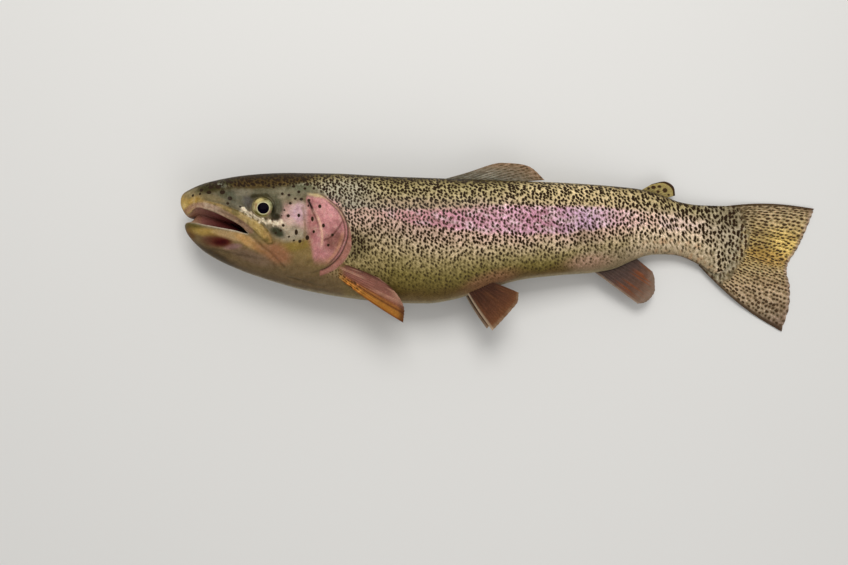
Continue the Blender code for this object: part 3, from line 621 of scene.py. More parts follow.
def ground(x, y):
    """Ground colour of skin and scales alike, head blending into trunk behind the gill cover."""
    gill = inside_loop(x, y, MEMBRANE_EDGE)
    top = ease((x - 86 + 0.3 * (y - 30)) / 16) * ease((y - 22) / 8)
    rear = np.maximum(top, ease((x - 108) / 8)) * ease((0.8 - gill) / 1.4)
    behind = np.clip(rear + (x > TRUNK_START), 0, 1)
    colour = head_paint(np.minimum(x, HEAD_END), y)
    colour = colour + (trunk_paint(x, y) - colour) * behind[..., None]
    deep = np.interp(x, [60, 100], [1.3, 2.8])
    pale = ease((deep + 0.4 * ripple(x, y, 2.6, 71) - y + belly(x)) / deep)
    return lay(colour, (172, 160, 132), 0.8 * (pale * ease((x - 5) / 10) * ease((372 - x) / 40)))


HEAD_SPOTS = [
    (76.5, 23.0, 1.05, 0.9), (72.7, 18.3, 0.7, 1), (75.3, 14.5, 1.15, 0.95), (82.3, 14.7, 1.0, 1.2),
    (72.0, 8.0, 1.0, 1.0), (80.7, 3.4, 1.1, 1.7), (88.0, -0.2, 1.3, 1.2), (83.0, -2.6, 1.1, 1.0),
    (79.0, -2.0, 0.8, 0.9), (75.8, 0.5, 0.8, 1), (89.0, 25.0, 1.1, 0.8), (83.8, 25.8, 1.2, 0.8),
    (79.8, 26.2, 1.0, 0.8), (75.5, 28.7, 1.1, 0.9), (91.4, 12.3, 0.95, 1.7), (71.0, 29.6, 1.0, 1.0),
    (96.3, 20.6, 1.15, 1.1), (98.8, 7.8, 1.0, 1.3), (92.4, 3.8, 0.9, 1.1), (104.8, 1.6, 1.0, 0.9),
    (70.9, 14.3, 0.6, 0.8), (64.4, 12.0, 0.7, 0.9), (43.2, 20.6, 0.9, 0.8), (34.9, 22.9, 1.0, 0.8),
    (31.0, 30.6, 1.8, 0.8), (21.9, 30.5, 1.7, 0.7), (16.5, 32.3, 1.3, 0.9), (10.7, 28.7, 0.9, 1.1),
    (25.2, 38.0, 1.5, 0.9), (28.0, 34.6, 1.9, 0.7), (15.9, 29.4, 0.8, 1.0), (102.0, -5.0, 0.9, 1.0),
    (22.6, 34.4, 1.7, 0.7), (36.2, 26.4, 1.5, 0.9), (70.4, 4.6, 0.9, 0.8), (67.0, 3.0, 0.8, 1.0),
    (33.6, 38.6, 1.2, 0.8), (36.6, 38.0, 1.0, 1.0), (41.8, 37.0, 1.2, 0.8), (44.8, 35.4, 1.0, 1.0),
    (48.3, 39.0, 1.2, 0.9), (50.8, 36.6, 1.3, 0.8), (57.0, 38.0, 1.2, 0.9), (61.6, 35.5, 1.2, 0.8),
    (64.9, 34.4, 0.9, 0.9), (69.2, 36.6, 1.3, 0.8), (85.5, 40.0, 1.7, 0.8), (82.0, 31.0, 1.1, 0.9),
    (86.0, 33.4, 1.0, 0.9), (87.6, 36.6, 1.2, 0.9), (92.0, 33.6, 0.9, 1.1), (88.6, 21.2, 0.6, 1.4),
    (94.6, 36.8, 1.1, 1.4), (98.8, 33.0, 0.9, 1.4), (78.4, 35.0, 1.2, 0.8), (72.6, 41.0, 1.2, 0.9),
]
pitch_along = smooth(
    (15, 2.4), (80, 2.3), (104, 2.1), (150, 2.4), (200, 2.7), (320, 2.95), (355, 3.4), (480, 3.7),
)
pitch_round = smooth(
    (15, 2.3), (85, 2.3), (108, 2.3), (150, 2.5), (250, 2.75), (320, 2.9), (360, 3.4), (480, 3.5),
)
WEAVE_STEP = 0.5
WEAVE_X = np.arange(0, 490 + WEAVE_STEP, WEAVE_STEP)
WEAVE_SUM = np.concatenate([[0], np.cumsum(WEAVE_STEP / pitch_along(WEAVE_X[:-1]))])


def weave(x, y, lie):
    """Where a place lies in the lattice of black specks, and how large the specks are there.

    The first two numbers count specks along the fish and round its body; the third is their radius in
    the lattice, which fades out on the cheeks, the gill cover and the belly.
    """
    middle, half = stripe_middle(x), stripe_half(x)
    over = (y - middle) / np.maximum(back(x) - middle, 4)
    under = (y - belly(x)) / np.maximum(middle - half - belly(x), 4)
    size = np.where(over > 0, 0.38 + 0.08 * ease(over * 1.6 - 0.3), 0.38 - 0.15 * ease((0.95 - under) / 0.6))
    off_belly = np.interp(under, [0.0, 0.1, 0.2, 0.34], [0.0, 0.3, 0.8, 1.0])
    size *= np.maximum(off_belly, 0.75 * ease((x - 325) / 20))
    calm = ease((half - np.abs(y - middle)) / 4) * np.interp(x, [120, 150, 300, 330], [0, 1, 1, 0])
    size *= 1 - 0.2 * calm
    gill = inside_loop(x, y, MEMBRANE_EDGE)
    top = ease((x - 88 + 0.6 * (y - 34)) / 12) * ease((y - 27) / 4)
    behind = np.clip(np.maximum(top, ease((x - 97) / 5)) * ease((0.6 - gill) / 0.6) + (x > TRUNK_START), 0, 1)
    behind *= np.clip(ease((y + 34) / 10) + (x > 125), 0, 1)
    crown = 0.4 * ease((y - 34 - 0.02 * (x - 60)) / 2.4) * ease((x - 12) / 10)
    lie = lie + (y - lie) * ease((x - 345) / 30)
    size = np.maximum(size, 0.38 * ease((x + 0.2 * y - 384) / 12) * (x > 340))
    size = size + 0.07 * patch(x, y, 120, -5, 9, 8, -20, 0.6)
    size = np.where(x > TRUNK_START, size, size * behind + crown * (1 - behind))
    return np.stack([np.interp(x, WEAVE_X, WEAVE_SUM), lie / pitch_round(x), size], axis=-1)


def head_spots(x, y):
    """The single spots of the head, which end before the trunk's specks begin."""
    return np.where(x < 112, place_dots(x, y, HEAD_SPOTS), 0.0)


def pick(table, rows, columns):
    """Values between the points of a table, by straight lines both ways."""
    i, j = np.floor(rows).astype(int), np.floor(columns).astype(int)
    i, j = np.clip(i, 0, table.shape[0] - 2), np.clip(j, 0, table.shape[1] - 2)
    a, b = rows - i, columns - j
    if table.ndim == 3:
        a, b = a[:, None], b[:, None]
    top = table[i, j] * (1 - b) + table[i, j + 1] * b
    low = table[i + 1, j] * (1 - b) + table[i + 1, j + 1] * b
    return top * (1 - a) + low * a


# ------------------------------------------------------------------------------------ making objects
def to_row(points):
    """Millimetres in the fish's side view, as metres in the row frame."""
    low = CAD_BOX[0]
    shift = np.array([low.x, low.y - LOWEST_Y * MM, 0.0])
    return np.asarray(points, float) * MM + shift


def grid_faces(rows, columns, wrap=False, flip=False):
    """Quads between neighbouring points of a grid, as an array of corner numbers."""
    across = columns if wrap else columns - 1
    i, j = np.meshgrid(np.arange(rows - 1), np.arange(across), indexing="ij")
    a, b = i * columns + j, i * columns + (j + 1) % columns
    quads = np.stack([a, b, b + columns, a + columns], axis=-1).reshape(-1, 4)
    return quads[:, ::-1] if flip else quads


def mesh_from(name, points, quads, material, colour, fields, specks=None, uv=None):
    """An object at the origin from arrays: points in millimetres, quads, and values stored on the points."""
    mesh = bpy.data.meshes.new(name)
    mesh.vertices.add(len(points))
    mesh.vertices.foreach_set("co", to_row(points).astype(np.float32).ravel())
    mesh.loops.add(quads.size)
    mesh.loops.foreach_set("vertex_index", quads.ravel().astype(np.int32))
    mesh.polygons.add(len(quads))
    mesh.polygons.foreach_set("loop_start", np.arange(0, quads.size, 4, dtype=np.int32))
    mesh.update(calc_edges=True)
    mesh.shade_smooth()
    layer = mesh.attributes.new("paint", "FLOAT_COLOR", "POINT")
    shade = np.concatenate([np.clip(colour, 0, 1), np.ones((len(points), 1))], axis=1)
    layer.data.foreach_set("color", shade.astype(np.float32).ravel())
    for key, values in fields.items():
        layer = mesh.attributes.new(key, "FLOAT", "POINT")
        layer.data.foreach_set("value", np.asarray(values, np.float32).ravel())
    if specks is not None:
        layer = mesh.attributes.new("weave", "FLOAT_VECTOR", "POINT")
        layer.data.foreach_set("vector", specks.astype(np.float32).ravel())
    if uv is not None:
        layer = mesh.uv_layers.new(name="OFBake")
        layer.data.foreach_set("uv", uv[quads.ravel()].astype(np.float32).ravel())
    mesh.validate()
    made = bpy.data.objects.new(name, mesh)
    mesh.materials.append(material)
    bpy.context.scene.collection.objects.link(made)
    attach(made, "root")
    return made


# ------------------------------------------------------------------------------------ materials
def feed(tree, socket, value):
    """Links another node's socket to an input, or sets the input to a number or colour."""
    if isinstance(value, bpy.types.NodeSocket):
        tree.links.new(value, socket)
    else:
        socket.default_value = value


def node(tree, kind, **inputs):
    """A new node, with some of its inputs fed."""
    made = tree.nodes.new(kind)
    for name, value in inputs.items():
        feed(tree, made.inputs[name], value)
    return made


def attribute(tree, name, socket="Fac"):
    """Reads what the mesh stores on its points under a name."""
    made = tree.nodes.new("ShaderNodeAttribute")
    made.attribute_name = name
    return made.outputs[socket]


def between(tree, value, low, high, to_low=0.0, to_high=1.0):
    """Maps a value from one range to another, with a soft step at both ends."""
    made = tree.nodes.new("ShaderNodeMapRange")
    made.interpolation_type = "SMOOTHSTEP"
    for name, number in (("From Min", low), ("From Max", high), ("To Min", to_low), ("To Max", to_high)):
        made.inputs[name].default_value = number
    tree.links.new(value, made.inputs["Value"])
    return made.outputs["Result"]


def mix(tree, first, second, factor, mode="MIX"):
    """Mixes two colours; the node's colour inputs are its seventh and eighth."""
    made = tree.nodes.new("ShaderNodeMix")
    made.data_type, made.blend_type = "RGBA", mode
    for place, value in ((0, factor), (6, first), (7, second)):
        feed(tree, made.inputs[place], value)
    return made.outputs[2]


def noise_at(tree, size, detail=3.0):
    """Noise in the object's own space, with features of about size millimetres."""
    where = tree.nodes.new("ShaderNodeTexCoord").outputs["Object"]
    made = node(
        tree, "ShaderNodeTexNoise", Vector=where, Scale=1 / (size * MM), Detail=detail, Roughness=0.55
    )
    return made.outputs["Fac"]


def cells_at(tree, place, scale, loose):
    """Flat cells over a pair of counts, off their even places by the looseness."""
    made = node(tree, "ShaderNodeTexVoronoi", Scale=scale, Randomness=loose)
    made.voronoi_dimensions = "2D"
    tree.links.new(place, made.inputs["Vector"])
    return made.outputs


def maths(tree, kind, *values):
    """One arithmetic node; each value is a socket or a number."""
    made = tree.nodes.new("ShaderNodeMath")
    made.operation = kind
    for socket, value in zip(made.inputs, values):
        feed(tree, socket, value)
    return made.outputs[0]


def vectors(tree, kind, *values):
    """One vector node; each value is a socket or three numbers."""
    made = tree.nodes.new("ShaderNodeVectorMath")
    made.operation = kind
    for socket, value in zip(made.inputs, values):
        feed(tree, socket, value)
    return made.outputs["Value" if kind == "LENGTH" else "Vector"]


def split(tree, value):
    """The three numbers of a vector."""
    made = tree.nodes.new("ShaderNodeSeparateXYZ")
    tree.links.new(value, made.inputs[0])
    return made.outputs


def joined(tree, first, second):
    """A flat vector of two numbers."""
    made = tree.nodes.new("ShaderNodeCombineXYZ")
    tree.links.new(first, made.inputs[0])
    tree.links.new(second, made.inputs[1])
    return made.outputs[0]


def speck_mask(tree, loose, lean, soft):
    """Black specks: one thin slanting stroke to each cell of a loose lattice read from the weave.

    The lattice is shoved about by noise and each column stands half a step above the last. A place's
    offset from its cell's middle is leant by a random slant, and the speck is where its length, less some
    fine noise, is under the size asked for. Gives the specks' mask and a second mask, 1 where a place is
    well clear of its speck.
    """
    place = attribute(tree, "weave", "Vector")
    flat = vectors(tree, "MULTIPLY", place, (1, 1, 0))
    wave = node(tree, "ShaderNodeTexNoise", Vector=flat, Scale=0.9, Detail=2.0)
    moved = split(tree, vectors(tree, "MULTIPLY_ADD", wave.outputs["Color"], (loose, loose, 0), flat))
    staggered = joined(tree, moved[0], maths(tree, "MULTIPLY_ADD", moved[0], 0.5, moved[1]))
    cells = cells_at(tree, staggered, 1.0, loose)
    off = split(tree, vectors(tree, "SUBTRACT", staggered, cells["Position"]))
    up = maths(tree, "MULTIPLY_ADD", off[0], -0.5, off[1])
    chances = split(tree, cells["Color"])
    slant = maths(tree, "MULTIPLY_ADD", chances[1], lean * 1.6, -lean * 0.5)
    thin = maths(tree, "MULTIPLY_ADD", up, slant, maths(tree, "MULTIPLY", off[0], 1.24))
    reach = vectors(tree, "LENGTH", joined(tree, thin, maths(tree, "MULTIPLY", up, 0.92)))
    asked = split(tree, place)[2]
    either_way = maths(tree, "MULTIPLY_ADD", chances[0], 2.0, -1.0)
    spread = maths(tree, "MULTIPLY", between(tree, asked, 0.2, 0.36, 0.8, 0.36), either_way)
    size = maths(tree, "MULTIPLY", asked, maths(tree, "ADD", spread, 0.97))
    fine = node(tree, "ShaderNodeTexNoise", Vector=flat, Scale=2.6, Detail=2.0)
    ragged = maths(tree, "MULTIPLY_ADD", fine.outputs["Fac"], 0.38, maths(tree, "SUBTRACT", size, reach))
    clear = maths(tree, "MULTIPLY", between(tree, reach, 0.34, 0.7), between(tree, asked, 0.1, 0.3))
    strength = between(tree, asked, 0.1, 0.37, 0.55, 1.0)
    return maths(tree, "MULTIPLY", between(tree, ragged, 0.19 - soft, 0.19 + soft), strength), clear


def new_material(name):
    """A material with nodes, its tree and its shader."""
    material = bpy.data.materials.new(name)
    material.use_nodes = True
    return material, material.node_tree, material.node_tree.nodes["Principled BSDF"]


def fish_material(name, dark, rough, coat, bump, grain, fleshy=0.0, metal=0.0, loose=0.74, lean=0.7):
    """Wet fish skin: the painted ground, its black markings, a fine mottle, painted highlights between the
    markings, and a clear film of water.
    """
    material, tree, shader = new_material(name)
    fine, broad = noise_at(tree, grain), noise_at(tree, grain * 6)
    tint = mix(tree, (0.7, 0.68, 0.62, 1), (1.26, 1.26, 1.26, 1), between(tree, fine, 0.3, 0.7))
    base = mix(tree, attribute(tree, "paint", "Color"), tint, 0.7, "MULTIPLY")
    tint = mix(tree, (0.8, 0.8, 0.76, 1), (1.16, 1.16, 1.18, 1), between(tree, broad, 0.35, 0.65))
    base = mix(tree, base, tint, 0.5, "MULTIPLY")
    # a per-point tone scales the ground: tone that differs at random, with painted shade in the head's
    # hollows and at the scales' free edges
    tone_and_shade = mix(tree, (0.5, 0.48, 0.44, 1), (1.3, 1.3, 1.3, 1), attribute(tree, "tone_and_shade"))
    base = mix(tree, base, tone_and_shade, 0.75, "MULTIPLY")
    specks, clear = speck_mask(tree, loose, lean, 0.05)
    # painted highlights: small pale glints scattered over the ground between the specks
    dots = cells_at(tree, attribute(tree, "weave", "Vector"), 2.3, 0.9)
    glints = between(tree, dots["Distance"], 0.2, 0.34, 1.0, 0.0)
    # the ground is darkened near each speck and lightened well clear of it: partly the fish's paler ground
    # between the specks, partly painted highlight on the scales' middles
    base = mix(tree, base, mix(tree, (0.74, 0.72, 0.64, 1), (1.27, 1.27, 1.3, 1), clear), 1.0, "MULTIPLY")
    base = mix(tree, base, (1.42, 1.38, 1.44, 1), maths(tree, "MULTIPLY", glints, clear), "MULTIPLY")
    placed = maths(tree, "MULTIPLY_ADD", fine, 0.25, attribute(tree, "ink"))
    base = mix(tree, base, (*dark, 1), between(tree, placed, 0.5, 0.72))
    base = mix(tree, base, (*dark, 1), specks)
    tree.links.new(base, shader.inputs["Base Color"])
    tree.links.new(between(tree, broad, 0.3, 0.7, rough - 0.08, rough + 0.08), shader.inputs["Roughness"])
    shader.inputs["Metallic"].default_value = metal
    shader.inputs["Specular IOR Level"].default_value = 0.06
    shader.inputs["Coat Weight"].default_value = coat
    shader.inputs["Coat Roughness"].default_value = 0.14
    if fleshy:
        shader.inputs["Subsurface Weight"].default_value = fleshy
        shader.inputs["Subsurface Radius"].default_value = (1.0, 0.35, 0.2)
        shader.inputs["Subsurface Scale"].default_value = 0.0015
    raised = node(tree, "ShaderNodeBump", Strength=bump, Distance=0.3 * MM, Height=fine)
    tree.links.new(raised.outputs["Normal"], shader.inputs["Normal"])
    return material


# ------------------------------------------------------------------------------------ the skin
LIP_CURVE = 1.4  # how fast the lines' ends run back along the lips


def skin_rings(around, trunk_rows, head_rows, mouth_rows, inset):
    """The whole skin as one grid: rings up the trunk, then lines that end on the lips, then the mouth.

    Behind the mouth's corner a line keeps its angle round the body. Ahead of it the lines spread over what
    is left of the ring, each ends where its own place on the lip is reached, and each goes on from there
    over the palate or the jaw's floor to the end of the mouth's pocket.
    """
    full = 2 * np.pi * np.arange(around) / around
    side = np.where(full <= np.pi, 1.0, -1.0)[None, :]
    fold = np.minimum(full, 2 * np.pi - full)[None, :]
    quarter = np.pi / 2
    upper = fold <= quarter
    reach = np.where(upper, fold, np.pi - fold) / quarter
    tip = np.where(upper, 0.0, JAW_TIP)
    rim = tip + (MOUTH_CORNER - tip) * reach**LIP_CURVE

    stations = np.linspace(TAIL_END, NAPE, trunk_rows)[:, None] + 0 * fold
    coat = inset * ease((stations - 112) / 14)
    bend = fold + 0 * stations
    trunk = body_point(stations, bend, side, coat)

    t = np.linspace(0, 1, head_rows + 1)[1:, None]
    x = NAPE + (rim - NAPE) * t
    ahead = np.clip((x - tip) / (MOUTH_CORNER - tip), 1e-9, 1) ** (1 / LIP_CURVE)
    share = np.clip(reach / ahead, 0, 0.9999)
    angle = np.where(upper, quarter * share, np.pi - quarter * share)
    coat = inset * ease((x - 112) / 14)
    head = body_point(x, angle, side, coat, 0.0)
    stations, bend = np.concatenate([stations, x]), np.concatenate([bend, angle])

    t = (np.linspace(0, 1, mouth_rows + 1)[1:, None]) ** 1.25
    x = rim + (POCKET_END - rim) * t
    ahead = np.clip((x - tip) / (MOUTH_CORNER - tip), 1e-9, 1) ** (1 / LIP_CURVE)
    share = np.clip(reach / ahead, 0, 1)
    wide = np.where(upper, half_width(x), jaw_half_width(x)) - 5.5 * ease((x - MOUTH_CORNER + 6) / 12)
    shut = ease((x - MOUTH_CORNER + 4) / (POCKET_END - MOUTH_CORNER + 4))
    gap = np.maximum(upper_lip(x) - lower_lip(x), 0.6)
    arch = 0.2 * bell(share - 0.85, 0.12) - 0.44 * ease((0.94 - share) / 0.6) * ease((x - 3) / 9)
    roof = upper_lip(x) + gap * arch * (1 - shut)
    tongue = 0.62 * ease((0.94 - share) / 0.56) * ease((x - 7) / 6)
    floor = lower_lip(x) + gap * (tongue - 0.16 * bell(share - 0.88, 0.1)) * (1 - shut)
    y = np.where(upper, roof, floor)
    mouth = np.stack([x, y, np.maximum(spine(x) + side * wide * share, 0.3)], axis=-1)
    return np.concatenate([trunk, head, mouth]), stations, bend


LIP_ROWS, LIP_ROUNDS = 5, 3


def soften_lips(points, rim_row):
    """Rounds the lips: each point near the rim moves towards the mean of its neighbours in the grid."""
    near = np.maximum(0, 1 - np.abs(np.arange(len(points)) - rim_row) / LIP_ROWS)[:, None, None]
    for _ in range(LIP_ROUNDS):
        mean = (
            np.roll(points, 1, axis=0) + np.roll(points, -1, axis=0) + np.roll(points, 1, axis=1)
            + np.roll(points, -1, axis=1)
        ) / 4
        points = points + (mean - points) * 0.6 * near
    return points


def flank_grid(start, rows, side, inset):
    """Stations down one flank, and a grid of the body's surface over them from back to belly."""
    stations = np.linspace(start, TAIL_END - 1, rows)[:, None]
    angles = np.linspace(0, np.pi, LIE_COLUMNS)[None, :]
    return stations, angles, body_point(stations + 0 * angles, angles + 0 * stations, side, inset)


def lie_table():
    """Distances round the body from the middle of the flank, positive to the back, by station and angle."""
    _, _, points = flank_grid(LIE_START, LIE_ROWS, 1.0, 0.0)
    step = np.linalg.norm(np.diff(points, axis=1), axis=-1)
    total = np.concatenate([np.zeros((len(points), 1)), np.cumsum(step, axis=1)], axis=1)
    return total[:, LIE_COLUMNS // 2][:, None] - total


def lie_at(stations, angles):
    """Distance round the body at stations and folded angles, read from the table."""
    row = (np.asarray(stations) - LIE_START) / (TAIL_END - 1 - LIE_START) * (LIE_ROWS - 1)
    column = np.asarray(angles) / np.pi * (LIE_COLUMNS - 1)
    shape = np.shape(row + column)
    row, column = np.broadcast_to(row, shape).ravel(), np.broadcast_to(column, shape).ravel()
    row, column = np.clip(row, 0, LIE_ROWS - 1.001), np.clip(column, 0, LIE_COLUMNS - 1.001)
    return pick(LIE_TABLE, row, column).reshape(shape)


LIE_TABLE = lie_table()


def make_skin(size, colours):
    """One skin over the whole body: the plain form, pushed out along its normals by the head's relief."""
    around = size.skin_around
    rows = ((TRUNK_ROWS, size.head_rows, MOUTH_ROWS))
    points, stations, angles = skin_rings(around, *rows, size.scale_lift)
    rim_row = rows[0] + rows[1] - 1
    row = np.arange(len(points))[:, None] + 0.0 * points[..., 0]
    points = soften_lips(points, rim_row)
    normals = grid_normals(points)
    x, y = points[..., 0], points[..., 1]
    outside = row <= rim_row
    fade = ease((rim_row + 1 - row) / 7)
    moved = np.where((x < HEAD_END) & outside, head_relief(x, y, np.abs(normals[..., 2])) * fade, 0.0)
    depth = ease((row - rim_row) / 6.0)
    moved = moved + np.where(~outside, 0.14 * ripple(x, y + points[..., 2], 1.8, 8) * depth, 0.0)
    points = points + normals * moved[..., None]
    high = points[..., 2] - CEILING + CEILING_EASE
    capped = CEILING - CEILING_EASE * np.exp(-np.maximum(high, 0) / CEILING_EASE)
    points[..., 2] = np.where(high > 0, capped, np.maximum(points[..., 2], FLOOR_GAP))
    colour = np.where(outside[..., None], ground(x, y), mouth_paint(x, y, depth))
    lie = np.concatenate([lie_at(stations, angles), np.zeros((rows[2], around))])
    specks = weave(x, y, lie)
    specks[..., 2] = np.where(outside, specks[..., 2] * fade, 0.0)
    marks = np.where(outside, head_spots(x, y), 0.0)
    # painted shade: the skin is darker where the head's relief sinks into its grooves and hollows
    tone_and_shade = np.full(x.shape, 0.62) - 0.2 * ease((-0.15 - moved) / 0.4) * outside * (eye_distance(x, y) > 7.2)
    quads = grid_faces(len(points), around, wrap=True)
    material = fish_material("wet_skin", colours.ink, colours.skin_roughness, 0.04, 0.5, 0.6, fleshy=0.1)
    made = mesh_from(
        "skin", points.reshape(-1, 3), quads, material, colour.reshape(-1, 3), {"ink": marks, "tone_and_shade": tone_and_shade},
        specks.reshape(-1, 3),
    )
    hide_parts(*BODY_NODES)


def mouth_paint(x, y, depth):
    """The mouth's lining: pale at the gums, rosy over the palate, mauve tongue, both darkening towards the
    back and laid near black in the pocket as painted shade.
    """
    level = (upper_lip(x) + lower_lip(x)) / 2
    roof = ramp(
        x, (4, (166, 130, 102)), (13, (162, 118, 108)), (20, (142, 96, 92)), (30, (112, 58, 58)),
        (40, (70, 26, 28)),
    )
    tongue = ramp(x, (8, (160, 118, 98)), (18, (124, 78, 76)), (28, (92, 44, 44)), (40, (62, 22, 24)))
    colour = np.where((y > level)[..., None], roof, tongue)
    gum = lay(colour, (196, 172, 150), (1 - depth) * ease((44 - x) / 12))
    # painted shade: near black laid over the lining deep in the mouth
    return lay(gum, (34, 12, 12), 0.75 * ease((x - 35) / 12))


# ------------------------------------------------------------------------------------ the scales
def flank_table(side, inset):
    """A fine grid over one flank, with its outward normals and distances round the body."""
    stations, angles, points = flank_grid(FLANK_START, FLANK_ROWS, side, inset)
    normal = grid_normals(points, wrap=False) * -side
    return stations[:, 0], points, normal, lie_at(stations, angles)


def scale_roots(size, side):
    """Where each scale is rooted: staggered ranks at even steps round the body from the flank's middle."""
    stations, points, normals, lie = flank_table(side, size.scale_lift)
    coarse = 1.0
    columns = np.arange(float(LIE_COLUMNS))
    where, ranks, x = [], 0, FIRST_RANK
    while x < TAIL_END - 2:
        shrink = float(np.interp(x, [FIRST_RANK, 140, 300, TAIL_END], [0.82, 1.0, 0.95, 0.7]))
        row = np.interp(x, stations, np.arange(len(stations)))
        arcs = pick(lie, np.full(LIE_COLUMNS, row), columns)
        width = size.scale_width * shrink * coarse
        low, high = int(np.floor(arcs[-1] / width)), int(np.ceil(arcs[0] / width))
        places = (np.arange(low, high + 1) + 0.5 * (ranks % 2)) * width
        places = places[(places < arcs[0]) & (places > arcs[-1])]
        column = np.interp(-places, -arcs, columns)
        same = np.ones(len(places))
        where.append(np.stack([row * same, column, shrink * same, places], axis=1))
        ranks += 1
        x += size.scale_pitch * coarse / 2 * shrink
    where = np.concatenate(where)
    seat = pick(points, where[:, 0], where[:, 1])
    out = unit(pick(normals, where[:, 0], where[:, 1]))
    ahead = pick(points, np.minimum(where[:, 0] + 1.0, len(stations) - 1.001), where[:, 1]) - seat
    ahead = unit(ahead - out * (ahead * out).sum(-1, keepdims=True))
    keep = scaled(seat[:, 0], seat[:, 1])
    return seat[keep], out[keep], ahead[keep], where[keep, 2], where[keep, 3]


def scaled(x, y):
    """Where scales grow: they stop at the gill opening, at the nape and on the throat."""
    gill = inside_loop(x, y, MEMBRANE_EDGE)
    nape = x > 93 - 0.35 * (y - 32) - 3 * (y > 43)
    throat = (y > -27) | (x > 112 + 0.25 * (-27 - y))
    clear = (gill < -0.5) & np.where(y > 18, nape, x > 104)
    return clear & throat


SCALE_PARTS = (("front", 0, 190), ("middle", 190, 272), ("rear", 272, 500))


def make_scales(size, colours):
    """Overlapping round-ended scales: each a small grid, buried at its root and raised at its free edge."""
    material = fish_material("scales", colours.ink, colours.scale_roughness, 0.025, 0.3, 0.7, metal=0.04)
    for word, side in SIDES:
        roots = scale_roots(size, side)
        for part, low, high in SCALE_PARTS:
            own = (roots[0][:, 0] >= low) & (roots[0][:, 0] < high)
            scale_piece(f"scales_{word}_{part}", size, material, side, *(values[own] for values in roots))


def scale_piece(name, size, material, side, seat, out, ahead, shrink, lie):
    """Joins many scales into one mesh, each a grid of u from root to free edge and v from side to side.

    A scale is straight-sided at the root and round behind. It rises from under the skin at the root to
    the coat's depth at its free edge, and falls by 0.18 of that depth towards its sides.
    """
    run = np.array([0.0, 0.4, 0.62, 0.82, 1.0])
    across = np.linspace(-1, 1, 5)
    u, v = np.meshgrid(run, across, indexing="ij")
    round_end = np.sqrt(np.clip(1 - (np.maximum(u - 0.42, 0) / 0.62) ** 2, 0, 1))
    height = -0.16 + 1.12 * u**1.15 - 0.18 * v**2
    coarse = 1.0
    length = size.scale_pitch * 1.62 * shrink * coarse
    width = size.scale_width * 0.62 * shrink * coarse
    random = chance(np.arange(len(seat)), 7.0, side)
    round_body = np.cross(out, ahead)
    along_u = (u.ravel()[None, :] * length[:, None])[..., None]
    along_v = ((v * round_end * (0.86 + 0.14 * ease(u * 2))).ravel()[None, :] * width[:, None])[..., None]
    lift = height.ravel()[None, :] * size.scale_lift * (0.8 + 0.35 * random[:, None])
    points = seat[:, None] + ahead[:, None] * along_u + round_body[:, None] * along_v
    points = points + out[:, None] * lift[..., None]
    points[..., 2] = np.maximum(points[..., 2], 0.012)
    x, y = points[..., 0], points[..., 1]
    sense = np.sign(round_body[:, 1:2] + 1e-9)
    place = lie[:, None] + sense * along_v[..., 0]
    colour = ground(x, y)
    # painted shadow: each scale is darker along its free edge and at the corners beside it
    edge = np.ones(u.shape)
    edge[-1] = 0.45
    edge[-2, [0, -1]] = 0.6
    tone_and_shade = (0.5 + 0.45 * random[:, None]) * edge.ravel()[None, :]
    count = len(run) * len(across)
    quads = grid_faces(len(run), len(across), flip=side > 0)
    quads = (quads[None] + (np.arange(len(seat)) * count)[:, None, None]).reshape(-1, 4)
    atlas = scale_atlas(seat, lie, u.ravel(), v.ravel())
    made = mesh_from(
        name, points.reshape(-1, 3), quads, material, colour.reshape(-1, 3),
        {"ink": 0 * x, "tone_and_shade": tone_and_shade}, weave(x, y, place).reshape(-1, 3), atlas.reshape(-1, 2),
    )


PATCH = 0.003


def scale_atlas(seat, lie, u, v):
    """The bake map: each scale is a patch 0.003 across, at its root's place on an unwrap of the flank."""
    across, up = (0.03 + 0.94 * (at - at.min()) / (at.max() - at.min()) for at in (seat[:, 0], lie))
    return np.stack([across[:, None] + PATCH * (u - 0.5)[None], up[:, None] + PATCH / 2 * v[None]], axis=-1)


# ------------------------------------------------------------------------------------ fins
def fan_points(root, edge, t, r, bow):
    """A fan of rays: ray t runs from root(t) to edge(t), bowed outwards at the fan's sides."""
    start, end = root(t), edge(t)
    run = end - start
    sideways = np.stack([-run[..., 1], run[..., 0]], axis=-1)
    return start + run * r[..., None] + sideways * (np.sin(np.pi * r) * bow * (t - 0.5))[..., None]


def ray_ridges(t, r, rays, split):
    """Ridge height, 0 to 1, over a fan: one crest to each ray, forked into two beyond the split."""
    single = np.abs(np.cos(np.pi * rays * t)) ** 3
    double = np.abs(np.cos(2 * np.pi * rays * t)) ** 3
    forked = ease((r - split) / 0.2)
    return single * (1 - forked) + double * forked * 0.8


